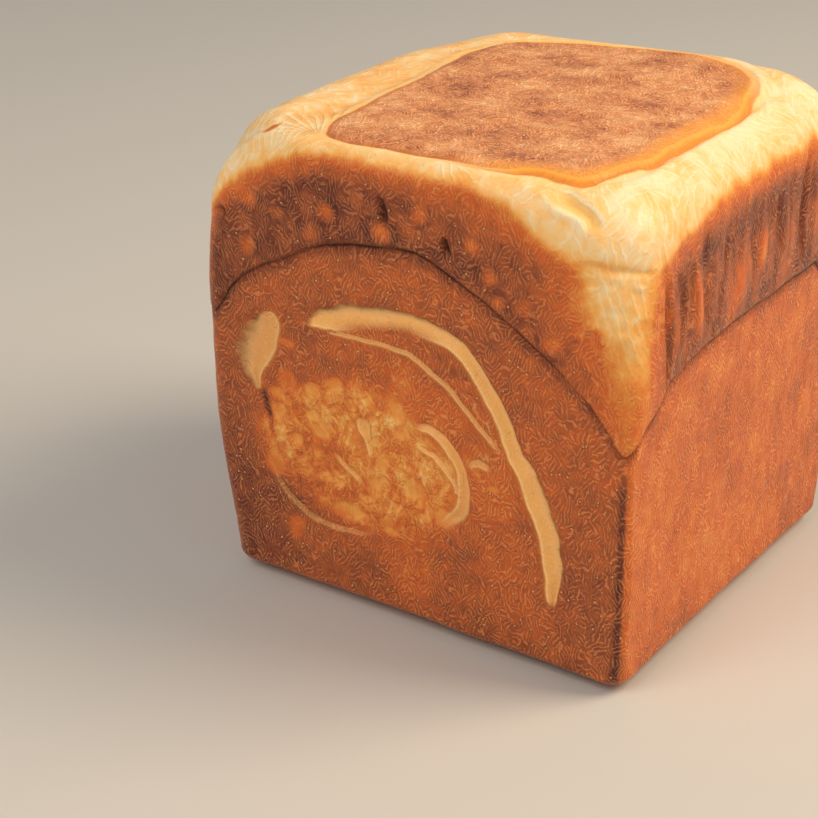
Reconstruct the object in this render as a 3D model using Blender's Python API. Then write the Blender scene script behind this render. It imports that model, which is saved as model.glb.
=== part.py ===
"""Milk bread baked in a lidded tin: a cube-like loaf in one piece.

The loaf stands on its flat base at the origin, +Z up. Its coiled end faces -Y
and a plain side faces +X. The lengths below are millimetres; the mesh is
scaled to metres when its points are placed.
"""
import bpy
import numpy as np

NAME = "milk_bread"
MM = 0.001

# Flat planes of the loaf, measured from its middle at the base.
HEIGHT = 129.5
HALF_WIDTH = 60.0
HALF_DEPTH = 53.5
FRONT_LEAN = 0.0525
FRONT_TWIST = 5.2
TWIST_SHARE = 0.4
BACK_STEP = 7.0
BACK_LEAN = 0.005
RIGHT_STEP = 1.4
RIGHT_LEAN = 0.004
LEFT_STEP = 0.9
LEFT_SWELL = 3.2
LEFT_SWELL_ZONE = (0, 50)
LEFT_DRAW = 1.7
LEFT_DRAW_ZONE = (74, 112)
BASE_ROUND = 3.5

# The small bulge at the left end of the upper band: rise, then middle and spread in y and in z.
EAR_RISE = 0.7
EAR_Y = (-52, 9)
EAR_Z = (106, 5)

# The underside stands on a flat pad, proud by a small step, whose edges bow in
# between its four corners. Outside the pad it rises gently to the base's rounds.
FLAT_INSET = 9.6
FLAT_BOW = 4.0
FLAT_SLOPE = 0.16
FLAT_STEP = 0.5
GROUNDED = 0.02

# The patch that the lid pressed flat: corners, corner radius, its step and the step's run.
PATCH_X = (-32.0, 46.0)
PATCH_Y = (-51.0, 50.0)
PATCH_CORNER = 18.0
PATCH_STEP = 1.3
PATCH_EDGE = (-2.0, 5.0)
PATCH_CROWN = 0.8
CROWN_MIDDLE = (14, 12)
CROWN_REACH = 60
TOP_DROP = 1.8

# The groove beside the patch on the right: depth, distance from the patch, spread and start in x.
RIM_DEPTH = 1.1
RIM_DISTANCE = 3.2
RIM_SPREAD = 1.8
RIM_ZONE = (20, 42)

# Slow slopes of the top: the left side falls, the far right rises and the far left sinks.
FALL = 0.8
FALL_X = (-34, -50)
FALL_Y = (-15, 20)
FAR_RISE = 1.5
FAR_RISE_X = (-5, 25)
FAR_SINK = 0.8
FAR_SINK_X = (5, -35)
FAR_Y = (5, 50)

# Zones where the rounding changes, each from where it starts to where it is full.
HIGH = (96, 118)
NEAR_RIGHT = (20, 52)
NEAR_LEFT = (-28, -56)
NEAR_FRONT = (-40, -56)
NEAR_BACK = (20, 50)
ACROSS = (-30, 30)

# Radii of the uprights at the base, along the middle and high up, with the runs between them.
RIGHT_UPRIGHT = (7.0, 4.0, 9.0)
RIGHT_UPRIGHT_RUNS = ((0, 14), (55, 105))
LEFT_UPRIGHT = (8.0, 5.5, 7.0)
LEFT_UPRIGHT_RUNS = ((0, 40), (85, 115))
BACK_EXTRA = 1.0

# Radii over the top's edges, and how far they reach down the top: first in the edge's
# middle, then at its right or front end, then at its left or back end.
FRONT_EDGE = (6.0, 16.0, 7.0)
FRONT_DROP = (5.0, 15.0, 24.0)
BACK_EDGE = (10.0, 12.0, 18.0)
BACK_DROP = (7.0, 11.0, 16.0)
RIGHT_EDGE = (15.0, 17.0, 23.0)
RIGHT_DROP = (14.0, 14.0, 20.0)
LEFT_EDGE = (16.0, 32.0, 26.0)
LEFT_DROP = (13.0, 26.0, 18.0)
DROP_REACH = 9.0

# The march from a core inside the loaf out to the corners of a box beyond it.
MARCH_BOX = (78.0, 76.0, 82.0)
CORE_LOW = (-42.0, -34.0, -42.0)
CORE_HIGH = (42.0, 36.0, 42.0)
MARCH_STEPS = 36
NORMAL_STEP = 0.05

# The fold line where the risen dough overlaps the lower loaf.
# On the ends it is an arch: its crest, then reach, drop and power to each side.
SEAM_CREST = (-4.0, 105.5)
SEAM_LEFT = (54.0, 27.5, 2.0)
SEAM_RIGHT = (64.0, 39.5, 1.67)
SEAM_RIGHT_SIDE = (66.0, 83.0)
SEAM_LEFT_SIDE = (78.0, 83.0)
SEAM_SIDE_FRONT = (-60, -34)
SEAM_SIDE_BACK = (34, 60)
SEAM_DEPTH = 0.9
SEAM_WIDTH = 2.0
OVERHANG = 1.1
OVERHANG_RISE = (-1.0, 2.4)
OVERHANG_FADE = (4, 32)
OVERHANG_LOSS = 0.7

# Grid cuts of the first cube, and the share of faces kept after thinning.
CUTS = 103
KEEP = 0.0675

# Points of a smooth line between two of its key points, the width left at a
# stroke's ends and the run of its edge, both as shares of its half width.
STEPS_PER_KEY = 6
STROKE_END = 0.55
STROKE_EDGE = (0.4, 1.3)

# The baked crust: a matt golden brown, as a linear colour.
CRUST_COLOUR = (0.40, 0.13, 0.03, 1.0)
CRUST_ROUGHNESS = 0.55

# Dents of the coiled end, as (key points in x and z, half width, depth).
# The half width swells to its value in the middle of each stroke.
COIL_STROKES = (
    (((-28, 81), (-14, 86.5), (3, 87), (17, 82), (27, 70), (36, 52), (42, 36), (42, 23)), 3.4, 1.1),
    (((-44, 78), (-47.5, 70), (-50, 61), (-48, 51)), 4.6, 1.1),
    (((-24, 78.5), (-8, 79), (7, 75), (18, 66), (29, 57)), 1.8, 0.6),
    (((1, 61), (10, 60), (17.5, 52), (16, 42), (9, 34)), 2.4, 0.8),
    (((2, 55), (8, 52.5), (13, 47)), 1.6, 0.5),
    (((-18, 56), (-14, 47)), 2.6, 0.7),
    (((-46, 37), (-37, 27), (-24, 23.5), (-10, 26)), 2.4, 0.6),
)
# Shallow round dents of the coil's middle, as (x, z, radius, depth).
COIL_DENTS = (
    (-4, 62, 3.2, 0.6), (-3, 57, 2.8, 0.5), (-37, 71, 3.0, 0.5), (-40, 57, 3.4, 0.6), (-27, 50, 3.2, 0.5),
    (-35, 46, 3.0, 0.5), (1, 41, 3.6, 0.6), (-43, 36, 3.2, 0.4), (-20, 28, 4.2, 0.6), (-23, 63, 3.0, 0.4),
)
# Pits and soft spots of the dark upper band, as (x, z, radius, depth).
BAND_DENTS = (
    (-6.5, 113, 2.0, 1.3), (11.5, 109, 1.8, 1.2), (-47, 110, 3.4, 0.5), (-23, 111, 3.0, 0.5),
    (-48, 97, 3.4, 0.4), (23, 104, 4.0, 0.6), (41, 91, 3.4, 0.6),
)
# Upright folds of the upper band on the right side, as (key points in y and z, half width, depth).
SIDE_STROKES = (
    (((-45, 106), (-43.5, 94), (-43, 81)), 1.8, 0.7),
    (((-38, 107), (-37, 96), (-37.5, 84)), 1.6, 0.6),
    (((-25, 106), (-24, 95), (-25, 87)), 1.8, 0.5),
    (((34, 117), (31, 108), (29.5, 98), (30, 86)), 2.0, 0.8),
)
# Folds that run over edges, as (key points in x, y and z, half width, height).
# The front crest comes first, then the trough and lip where it tucks in at the corner.
EDGE_FOLDS = (
    (((-61, -57, 105), (-56, -58, 112), (-48, -58, 118.5), (-36, -58, 124.5), (-20, -57, 127),
      (6, -56, 127.5), (28, -56, 127), (38, -56.5, 124.5), (47, -57.5, 121.5), (53, -58.5, 114)), 2.4, 0.8),
    (((36, -52, 127), (43, -54, 125.5), (49, -55, 122.5), (53, -56, 119), (55.5, -57, 114)), 2.8, -1.2),
    (((44, -60, 112), (53, -59, 112), (58, -55, 111), (62, -48, 109)), 1.6, -0.8),
)


def ramp(low, high, value):
    """Smooth step from 0 at low to 1 at high."""
    k = np.clip((value - low) / (high - low), 0.0, 1.0)
    return k * k * (3.0 - 2.0 * k)


def blend(a, b, k):
    """Value between a and b."""
    return a + (b - a) * k


def front_plane(x, z):
    """Distance of the coiled end in front of the middle."""
    share = 1.0 - TWIST_SHARE + TWIST_SHARE * x / HALF_WIDTH
    return HALF_DEPTH + FRONT_LEAN * z + FRONT_TWIST * share * (1.0 - z / HEIGHT)


def back_plane(z):
    """Distance of the far end behind the middle."""
    return HALF_DEPTH + BACK_STEP + BACK_LEAN * z


def right_plane(z):
    """Distance of the plain right side from the middle."""
    return HALF_WIDTH + RIGHT_STEP + RIGHT_LEAN * z


def left_plane(y, z):
    """Distance of the left side, which swells above the base."""
    swell = LEFT_SWELL * ramp(*LEFT_SWELL_ZONE, z) - LEFT_DRAW * ramp(*LEFT_DRAW_ZONE, z)
    off_y = (y - EAR_Y[0]) / EAR_Y[1]
    off_z = (z - EAR_Z[0]) / EAR_Z[1]
    return HALF_WIDTH + LEFT_STEP + swell + EAR_RISE * np.exp(-(off_z ** 2) - off_y ** 2)


def patch_distance(x, y):
    """Signed distance to the outline of the pressed patch, positive outside."""
    mid_x, mid_y = sum(PATCH_X) / 2, sum(PATCH_Y) / 2
    off_x = np.abs(x - mid_x) - (PATCH_X[1] - PATCH_X[0]) / 2 + PATCH_CORNER
    off_y = np.abs(y - mid_y) - (PATCH_Y[1] - PATCH_Y[0]) / 2 + PATCH_CORNER
    outside = np.hypot(np.maximum(off_x, 0), np.maximum(off_y, 0))
    return outside + np.minimum(np.maximum(off_x, off_y), 0) - PATCH_CORNER


def top_height(x, y):
    """Height of the top: the pressed patch, its crown and the lower shoulders."""
    apart = patch_distance(x, y)
    inside = 1.0 - ramp(*PATCH_EDGE, apart)
    off_middle = np.hypot(x - CROWN_MIDDLE[0], y - CROWN_MIDDLE[1])
    crown = PATCH_CROWN * (1.0 - ramp(0, CROWN_REACH, off_middle))
    fall = FALL * ramp(*FALL_X, x) * ramp(*FALL_Y, y)
    tilt = (FAR_RISE * ramp(*FAR_RISE_X, x) - FAR_SINK * ramp(*FAR_SINK_X, x)) * ramp(*FAR_Y, y)
    groove = RIM_DEPTH * np.exp(-(((apart - RIM_DISTANCE) / RIM_SPREAD) ** 2)) * ramp(*RIM_ZONE, x)
    return HEIGHT - TOP_DROP - fall + tilt + (crown + PATCH_STEP) * inside - groove


def underside(x, y):
    """Height of the underside: flat in the middle, rising towards its edges."""
    side = np.maximum(x - right_plane(0.0), -x - left_plane(y, 0.0))
    side += FLAT_INSET + FLAT_BOW * (1.0 - (y / HALF_DEPTH) ** 2)
    end = np.maximum(-y - front_plane(x, 0.0), y - back_plane(0.0))
    end += FLAT_INSET + FLAT_BOW * (1.0 - (x / HALF_WIDTH) ** 2)
    return FLAT_SLOPE * np.maximum(np.maximum(side, end), 0.0)


def along_edge(values, near_one, near_other):
    """Value along an edge, from those in its middle and at its two ends."""
    middle, one, other = values
    return blend(blend(middle, one, near_one), other, near_other)


def along_back(values, near_right, near_left):
    """Value along the back's edge, whose two ends leave its middle value alike."""
    middle, right, left = values
    return blend(middle, blend(right, left, near_left), np.maximum(near_right, near_left))


def upright_round(radii, runs, z):
    """Radius of an upright, from those at the base, along the middle and high up."""
    base, middle, high = radii
    return blend(blend(base, middle, ramp(*runs[0], z)), high, ramp(*runs[1], z))


def edge_rounds(x, y, z):
    """Rounding of the front, back, right, left and top at a point."""
    high = ramp(*HIGH, z)
    ends_x = (ramp(*NEAR_RIGHT, x), ramp(*NEAR_LEFT, x))
    ends_y = (ramp(*NEAR_FRONT, y), ramp(*NEAR_BACK, y))

    on_right = upright_round(RIGHT_UPRIGHT, RIGHT_UPRIGHT_RUNS, z)
    on_left = upright_round(LEFT_UPRIGHT, LEFT_UPRIGHT_RUNS, z)
    upright = blend(on_left, on_right, ramp(*ACROSS, x))
    front = blend(upright, along_edge(FRONT_EDGE, *ends_x), high)
    back = blend(upright + BACK_EXTRA, along_back(BACK_EDGE, *ends_x), high)
    right = blend(upright, along_edge(RIGHT_EDGE, *ends_y), high)
    left = blend(upright, along_edge(LEFT_EDGE, *ends_y), high)

    weighed = 0.0
    shares = 0.0
    for gap, drop in (
        (x + left_plane(y, z), along_edge(LEFT_DROP, *ends_y)),
        (right_plane(z) - x, along_edge(RIGHT_DROP, *ends_y)),
        (y + front_plane(x, z), along_edge(FRONT_DROP, *ends_x)),
        (back_plane(z) - y, along_back(BACK_DROP, *ends_x)),
    ):
        share = np.exp(-np.maximum(gap, 0) / DROP_REACH)
        weighed = weighed + share * drop
        shares = shares + share
    return front, back, right, left, weighed / shares


def outside_by(points):
    """Negative inside the plain loaf, positive outside, zero on its skin."""
    x, y, z = points[:, 0], points[:, 1], points[:, 2]
    front, back, right, left, top = edge_rounds(x, y, z)
    total = np.zeros(len(points))
    for gap, radius in (
        (-y - front_plane(x, z), front),
        (y - back_plane(z), back),
        (x - right_plane(z), right),
        (-x - left_plane(y, z), left),
        (z - top_height(x, y), top),
        (underside(x, y) - z, BASE_ROUND),
    ):
        total += np.maximum(1.0 + gap / radius, 0.0) ** 2
    return np.sqrt(total) - 1.0


def skin_points(cube):
    """March the points of a cube of half size 1 onto the skin of the loaf."""
    middle = np.array((0.0, 0.0, HEIGHT / 2))
    far = cube * np.array(MARCH_BOX)
    core = np.clip(far, CORE_LOW, CORE_HIGH)
    low = np.zeros(len(cube))
    high = np.ones(len(cube))
    for _ in range(MARCH_STEPS):
        half = (low + high) / 2
        out = outside_by(middle + core + (far - core) * half[:, None]) > 0
        high = np.where(out, half, high)
        low = np.where(out, low, half)
    return middle + core + (far - core) * low[:, None]


def skin_normals(points):
    """Unit normals of the plain skin."""
    steps = NORMAL_STEP * np.eye(3)
    slopes = [outside_by(points + step) - outside_by(points - step) for step in steps]
    normals = np.stack(slopes, axis=1)
    return normals / np.linalg.norm(normals, axis=1)[:, None]


def seam_height_end(x):
    """Height of the fold line across either end."""
    crest_x, crest_z = SEAM_CREST
    reach, drop, power = SEAM_LEFT
    left = drop * (np.maximum(crest_x - x, 0) / reach) ** power
    reach, drop, power = SEAM_RIGHT
    right = drop * (np.maximum(x - crest_x, 0) / reach) ** power
    return crest_z - left - right


def seam_height_side(y, low, high):
    """Height of the fold line along a side, low at both uprights."""
    return low + (high - low) * (ramp(*SEAM_SIDE_FRONT, y) - ramp(*SEAM_SIDE_BACK, y))


def fold(above):
    """Relief of the fold line, from the height above it: a crease under an overhang."""
    fade = 1.0 - OVERHANG_LOSS * ramp(*OVERHANG_FADE, above)
    lip = OVERHANG * ramp(*OVERHANG_RISE, above) * fade
    return lip - SEAM_DEPTH * np.exp(-((above / SEAM_WIDTH) ** 2))


def smooth_line(keys):
    """Points of a Catmull-Rom curve through the key points."""
    keys = np.array(keys, dtype=float)
    ends = (2 * keys[:1] - keys[1:2], keys, 2 * keys[-1:] - keys[-2:-1])
    padded = np.concatenate(ends)
    line = []
    for index in range(len(keys) - 1):
        a, b, c, d = padded[index:index + 4]
        for t in np.arange(STEPS_PER_KEY) / STEPS_PER_KEY:
            square = (2 * a - 5 * b + 4 * c - d) * t ** 2
            cube = (3 * b - a - 3 * c + d) * t ** 3
            line.append((2 * b + (c - a) * t + square + cube) / 2)
    line.append(keys[-1])
    return line


def stroke(where, keys, half_width):
    """Strength from 0 to 1 of a stroke along a smooth line, which narrows to its ends."""
    line = smooth_line(keys)
    nearest = np.full(len(where), np.inf)
    place = np.zeros(len(where))
    for index in range(len(line) - 1):
        run = line[index + 1] - line[index]
        along = np.clip((where - line[index]) @ run / (run @ run), 0.0, 1.0)
        apart = np.linalg.norm(where - line[index] - along[:, None] * run, axis=1)
        place = np.where(apart < nearest, (index + along) / (len(line) - 1), place)
        nearest = np.minimum(nearest, apart)
    width = half_width * (STROKE_END + (1.0 - STROKE_END) * np.sin(np.pi * place))
    return 1.0 - ramp(*STROKE_EDGE, nearest / width)


def dents(where, rows):
    """Relief of round dents, each given by its middle, radius and depth."""
    relief = np.zeros(len(where))
    for mid_u, mid_v, radius, depth in rows:
        apart = np.linalg.norm(where - (mid_u, mid_v), axis=1)
        relief -= depth * np.exp(-((apart / radius) ** 2))
    return relief


def grooves(where, rows):
    """Relief of grooves, each given by its key points, half width and depth."""
    relief = np.zeros(len(where))
    for keys, half_width, depth in rows:
        relief = np.minimum(relief, -depth * stroke(where, keys, half_width))
    return relief


def skin_relief(points, normals):
    """Height of the relief over the plain skin, shared between the faces by normal."""
    x, y, z = points.T
    right, back, _, left, front, _ = (np.clip(np.hstack((normals, -normals)), 0, None) ** 2).T
    on_end = fold(z - seam_height_end(x)) + grooves(points[:, (0, 2)], COIL_STROKES)
    on_end += dents(points[:, (0, 2)], COIL_DENTS)
    on_front = on_end + dents(points[:, (0, 2)], BAND_DENTS)
    on_right = fold(z - seam_height_side(y, *SEAM_RIGHT_SIDE)) + grooves(points[:, (1, 2)], SIDE_STROKES)
    on_left = fold(z - seam_height_side(y, *SEAM_LEFT_SIDE))
    relief = front * on_front + back * on_end + right * on_right + left * on_left
    for keys, half_width, height in EDGE_FOLDS:
        relief += height * stroke(points, keys, half_width)
    return relief


def crust_material():
    """Material of the baked crust."""
    crust = bpy.data.materials.new("baked_crust")
    crust.use_nodes = True
    shader = crust.node_tree.nodes["Principled BSDF"]
    shader.inputs["Base Color"].default_value = CRUST_COLOUR
    shader.inputs["Roughness"].default_value = CRUST_ROUGHNESS
    shader.inputs["Metallic"].default_value = 0.0
    return crust


def clear_scene():
    """Remove whatever the file holds."""
    for thing in list(bpy.data.objects):
        bpy.data.objects.remove(thing, do_unlink=True)


def build_loaf(collection):
    """Subdivide a cube, march it onto the skin, press the relief in and thin it."""
    bpy.ops.mesh.primitive_cube_add(size=2.0, location=(0, 0, 0))
    loaf = bpy.context.object
    loaf.name = NAME
    loaf.data.name = NAME
    bpy.ops.object.mode_set(mode="EDIT")
    bpy.ops.mesh.subdivide(number_cuts=CUTS)
    bpy.ops.object.mode_set(mode="OBJECT")

    count = len(loaf.data.vertices)
    cube = np.empty(count * 3)
    loaf.data.vertices.foreach_get("co", cube)
    points = skin_points(cube.reshape(count, 3))
    normals = skin_normals(points)
    grounded = points[:, 2] < GROUNDED
    points += normals * skin_relief(points, normals)[:, None]
    points[:, 2] = np.where(grounded, 0.0, np.maximum(points[:, 2], FLAT_STEP))
    points[:, :2] -= (points[:, :2].max(axis=0) + points[:, :2].min(axis=0)) / 2
    loaf.data.vertices.foreach_set("co", (points * MM).ravel())
    loaf.data.update()

    thin = loaf.modifiers.new("thin", "DECIMATE")
    thin.decimate_type = "COLLAPSE"
    thin.ratio = KEEP
    loaf.data.shade_smooth()
    loaf.data.materials.append(crust_material())
    for old in loaf.users_collection:
        old.objects.unlink(loaf)
    collection.objects.link(loaf)
    return loaf


def main():
    """Build the loaf in a collection of its own."""
    clear_scene()
    collection = bpy.data.collections.new("milk_bread_parts")
    bpy.context.scene.collection.children.link(collection)
    build_loaf(collection)


main()
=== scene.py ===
"""Milk bread baked in a lidded tin: the looks of the cube-like loaf.

The loaf is one crusted piece. Its skin starts as a finely cut cube that is
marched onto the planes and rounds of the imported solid. The fold line, the coil
of the rolled dough, the pressed top and the wrinkles are then pressed in along
the normals. Lengths are millimetres until the mesh is placed: the coiled end
faces -Y, a plain side faces +X and the base lies at z = 0.
"""
import logging
import math
from collections.abc import Iterator
from dataclasses import dataclass, fields
from enum import Enum
from itertools import product

import bpy
import numpy as np
from mathutils import Matrix, Vector


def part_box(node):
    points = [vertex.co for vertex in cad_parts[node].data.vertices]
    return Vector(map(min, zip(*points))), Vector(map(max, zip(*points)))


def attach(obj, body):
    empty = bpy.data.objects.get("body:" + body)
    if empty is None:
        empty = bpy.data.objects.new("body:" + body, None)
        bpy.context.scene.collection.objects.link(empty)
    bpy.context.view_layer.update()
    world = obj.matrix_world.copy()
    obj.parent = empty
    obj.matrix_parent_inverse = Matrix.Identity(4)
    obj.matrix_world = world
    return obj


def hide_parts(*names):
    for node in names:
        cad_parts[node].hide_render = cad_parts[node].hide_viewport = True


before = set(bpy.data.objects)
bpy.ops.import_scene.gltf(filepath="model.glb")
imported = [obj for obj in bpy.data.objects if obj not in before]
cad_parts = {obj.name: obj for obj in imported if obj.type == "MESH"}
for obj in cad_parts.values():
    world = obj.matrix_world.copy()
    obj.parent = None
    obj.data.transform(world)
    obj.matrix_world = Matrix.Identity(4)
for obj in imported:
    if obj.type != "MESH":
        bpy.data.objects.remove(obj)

NODE = "milk_bread"
PIECE = "milk_bread_crust"
BODY = "root"
MM = 0.001
LATTICE = 32

log = logging.getLogger("milk_bread")
Array = np.ndarray
Keys = tuple[tuple[float, ...], ...]
Point = tuple[float, float, float]
Line = tuple[Keys, float, float]
Round = tuple[float, float, float, float]


class Side(Enum):
    """The sides of the loaf, each with the direction that it faces."""

    RIGHT = (1, 0, 0)
    LEFT = (-1, 0, 0)
    BACK = (0, 1, 0)
    FRONT = (0, -1, 0)
    TOP = (0, 0, 1)
    BASE = (0, 0, -1)


ENDS = (Side.FRONT, Side.BACK)
FLANKS = (Side.RIGHT, Side.LEFT)


def ramp(low: float, high: float, value: Array) -> Array:
    """Smooth step from 0 at low to 1 at high."""
    k = np.clip((value - low) / (high - low), 0.0, 1.0)
    return k * k * (3.0 - 2.0 * k)


def blend(a: Array | float, b: Array | float, k: Array | float) -> Array:
    """Value between a, where k is 0, and b, where k is 1."""
    return a + (b - a) * k


def swell(value: Array, middle: float, width: float) -> Array:
    """Bell of height 1 round a middle value."""
    return np.exp(-(((value - middle) / width) ** 2))


def bow(along: Array) -> Array:
    """Arch of height 1 over a line that runs from 0 to 1."""
    return np.clip(np.sin(np.pi * along), 0.0, 1.0)


def follow(value: Array, keys: Keys) -> Array:
    """Height read from key points that rise along their first number.

    Args:
        value: Places along the first number of the keys.
        keys: Pairs of place and height.

    Returns:
        The height at each place, joined in straight runs.
    """
    places, heights = zip(*keys)
    return np.interp(value, places, heights)


def lumps(points: Array, size: float | Point, seed: int) -> Array:
    """Smooth noise between about -1 and 1.

    Args:
        points: Places in millimetres, one row each.
        size: Spacing of the lumps in millimetres, alike or along x, y and z.
        seed: Number that picks the pattern.

    Returns:
        One value for each place.
    """
    lattice = np.random.default_rng(seed).uniform(-1.0, 1.0, (LATTICE, LATTICE, LATTICE))
    place = points / np.asarray(size, dtype=float)
    cell = np.floor(place).astype(int)
    part = place - cell
    part = part * part * (3.0 - 2.0 * part)
    total = np.zeros(len(points))
    for corner in product((0, 1), repeat=3):
        weight = np.prod(np.where(corner, part, 1.0 - part), axis=1)
        total += weight * lattice[tuple(((cell + corner) % LATTICE).T)]
    return total


def veins(points: Array, size: float | Point, width: float, seed: int) -> Array:
    """Meandering lines, 1 on the line and 0 beside it, where smooth noise crosses zero."""
    return swell(lumps(points, size, seed), 0.0, width)


def flat_points(where: Array) -> Array:
    """Flat places as rows of three numbers, for noise that follows a flat side."""
    return np.column_stack((where, np.zeros(len(where))))


class Trail:
    """A smooth line over the skin through a few key points."""

    STEPS = 6

    def __init__(self, keys: Keys, reach: float) -> None:
        """Lay the line.

        Args:
            keys: Key points in millimetres, with two or three numbers each.
            reach: How far from the line the skin is still looked at.
        """
        self.reach = reach
        corners = np.array(keys, dtype=float)
        padded = np.concatenate((2 * corners[:1] - corners[1:2], corners, 2 * corners[-1:] - corners[-2:-1]))
        points = []
        for index in range(len(corners) - 1):
            a, b, c, d = padded[index:index + 4]
            for t in np.arange(self.STEPS) / self.STEPS:
                square = (2 * a - 5 * b + 4 * c - d) * t ** 2
                cube = (3 * b - a - 3 * c + d) * t ** 3
                points.append((2 * b + (c - a) * t + square + cube) / 2)
        points.append(corners[-1])
        self.line = np.array(points)

    def near(self, where: Array) -> tuple[Array, Array, Array]:
        """Measure places against the line.

        Args:
            where: Places with as many numbers as the key points.

        Returns:
            The rows within reach, their distance to the line, positive on its
            left where it is flat, and their place along it from 0 to 1.
        """
        low = self.line.min(axis=0) - self.reach
        high = self.line.max(axis=0) + self.reach
        rows = np.flatnonzero(((where > low) & (where < high)).all(axis=1))
        spots = where[rows]
        apart = np.full(len(rows), np.inf)
        along = np.zeros(len(rows))
        left = np.ones(len(rows))
        last = len(self.line) - 1
        for index in range(last):
            run = self.line[index + 1] - self.line[index]
            off = spots - self.line[index]
            k = np.clip(off @ run / (run @ run), 0.0, 1.0)
            gap = np.linalg.norm(off - k[:, None] * run, axis=1)
            closer = gap < apart
            apart = np.where(closer, gap, apart)
            along = np.where(closer, (index + k) / last, along)
            if len(run) == 2:
                cross = run[0] * off[:, 1] - run[1] * off[:, 0]
                left = np.where(closer, np.sign(cross), left)
        return rows, apart * left, along


def lines_near(
    lines: tuple[Line, ...], reach: float, where: Array
) -> Iterator[tuple[Array, Array, Array, float, float]]:
    """Measure places against several lines.

    Args:
        lines: Keys, half width and height or depth of each line.
        reach: How far from a line the skin is still looked at.
        where: Places with as many numbers as the keys.

    Returns:
        For each line the rows within reach, their distance to it, an arch
        over it, and its half width and height or depth.
    """
    for keys, half_width, height in lines:
        rows, apart, along = Trail(keys, reach).near(where)
        yield rows, apart, bow(along), half_width, height


@dataclass
class Skin:
    """Points of the skin, their normals and how much each side owns them."""

    points: Array
    normals: Array

    def share(self, side: Side) -> Array:
        """Share of a side in each point, from its normal."""
        return np.clip(self.normals @ np.array(side.value, dtype=float), 0.0, None) ** 2

    def upright(self) -> Array:
        """Share of the four upright sides together."""
        return 1.0 - self.share(Side.TOP) - self.share(Side.BASE)

    def flat(self, side: Side) -> Array:
        """Places in the plane of an upright side: x and z on an end, y and z on a flank."""
        return self.points[:, (0, 2) if side in ENDS else (1, 2)]

    def part(self, rows: Array) -> "Skin":
        """The skin at some of its points."""
        return Skin(self.points[rows], self.normals[rows])


# Distance in millimetres that stands for "nowhere near" in the fields of the coat.
FAR = 12.0


@dataclass
class Coat:
    """What the crust's finish reads at each point of the skin.

    Lines that have to stay crisp are kept as the distance to them, because a
    distance stays true between the points of the mesh.

    Attributes:
        bake: How brown it is, from 0 for cream to 1 for the darkest brown, with painted shade added under the
            fold line, by the near right upright and in the coil's crevice.
        satin: How smooth and unwrinkled it is.
        crack: Painted shade, how deep it lies in a dark crease: the slots of the band and the upright folds
            of the flanks.
        fan: How strongly the fanned folds of the left shoulder show.
        fan_turn: Place across those folds, counted in folds.
        heart: How far inside the coil's netted heart it lies.
        seam: How strongly the painted shade and highlight along the fold line show.
        seam_mm: Height over the fold line.
        patch_mm: Distance outside the pressed patch, negative on it.
        rim: How much of the patch's wide orange rim shows.
        fold: How strongly a fold of the coil shows.
        fold_u: Place across a fold: millimetres before its lip, then 0 to 1 over its floor.
        tuck: How strongly the trough at the near right corner shows.
        tuck_mm: Distance behind the middle of that trough.
    """

    bake: Array
    satin: Array
    crack: Array
    fan: Array
    fan_turn: Array
    heart: Array
    seam: Array
    seam_mm: Array
    patch_mm: Array
    rim: Array
    fold: Array
    fold_u: Array
    tuck: Array
    tuck_mm: Array


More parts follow.
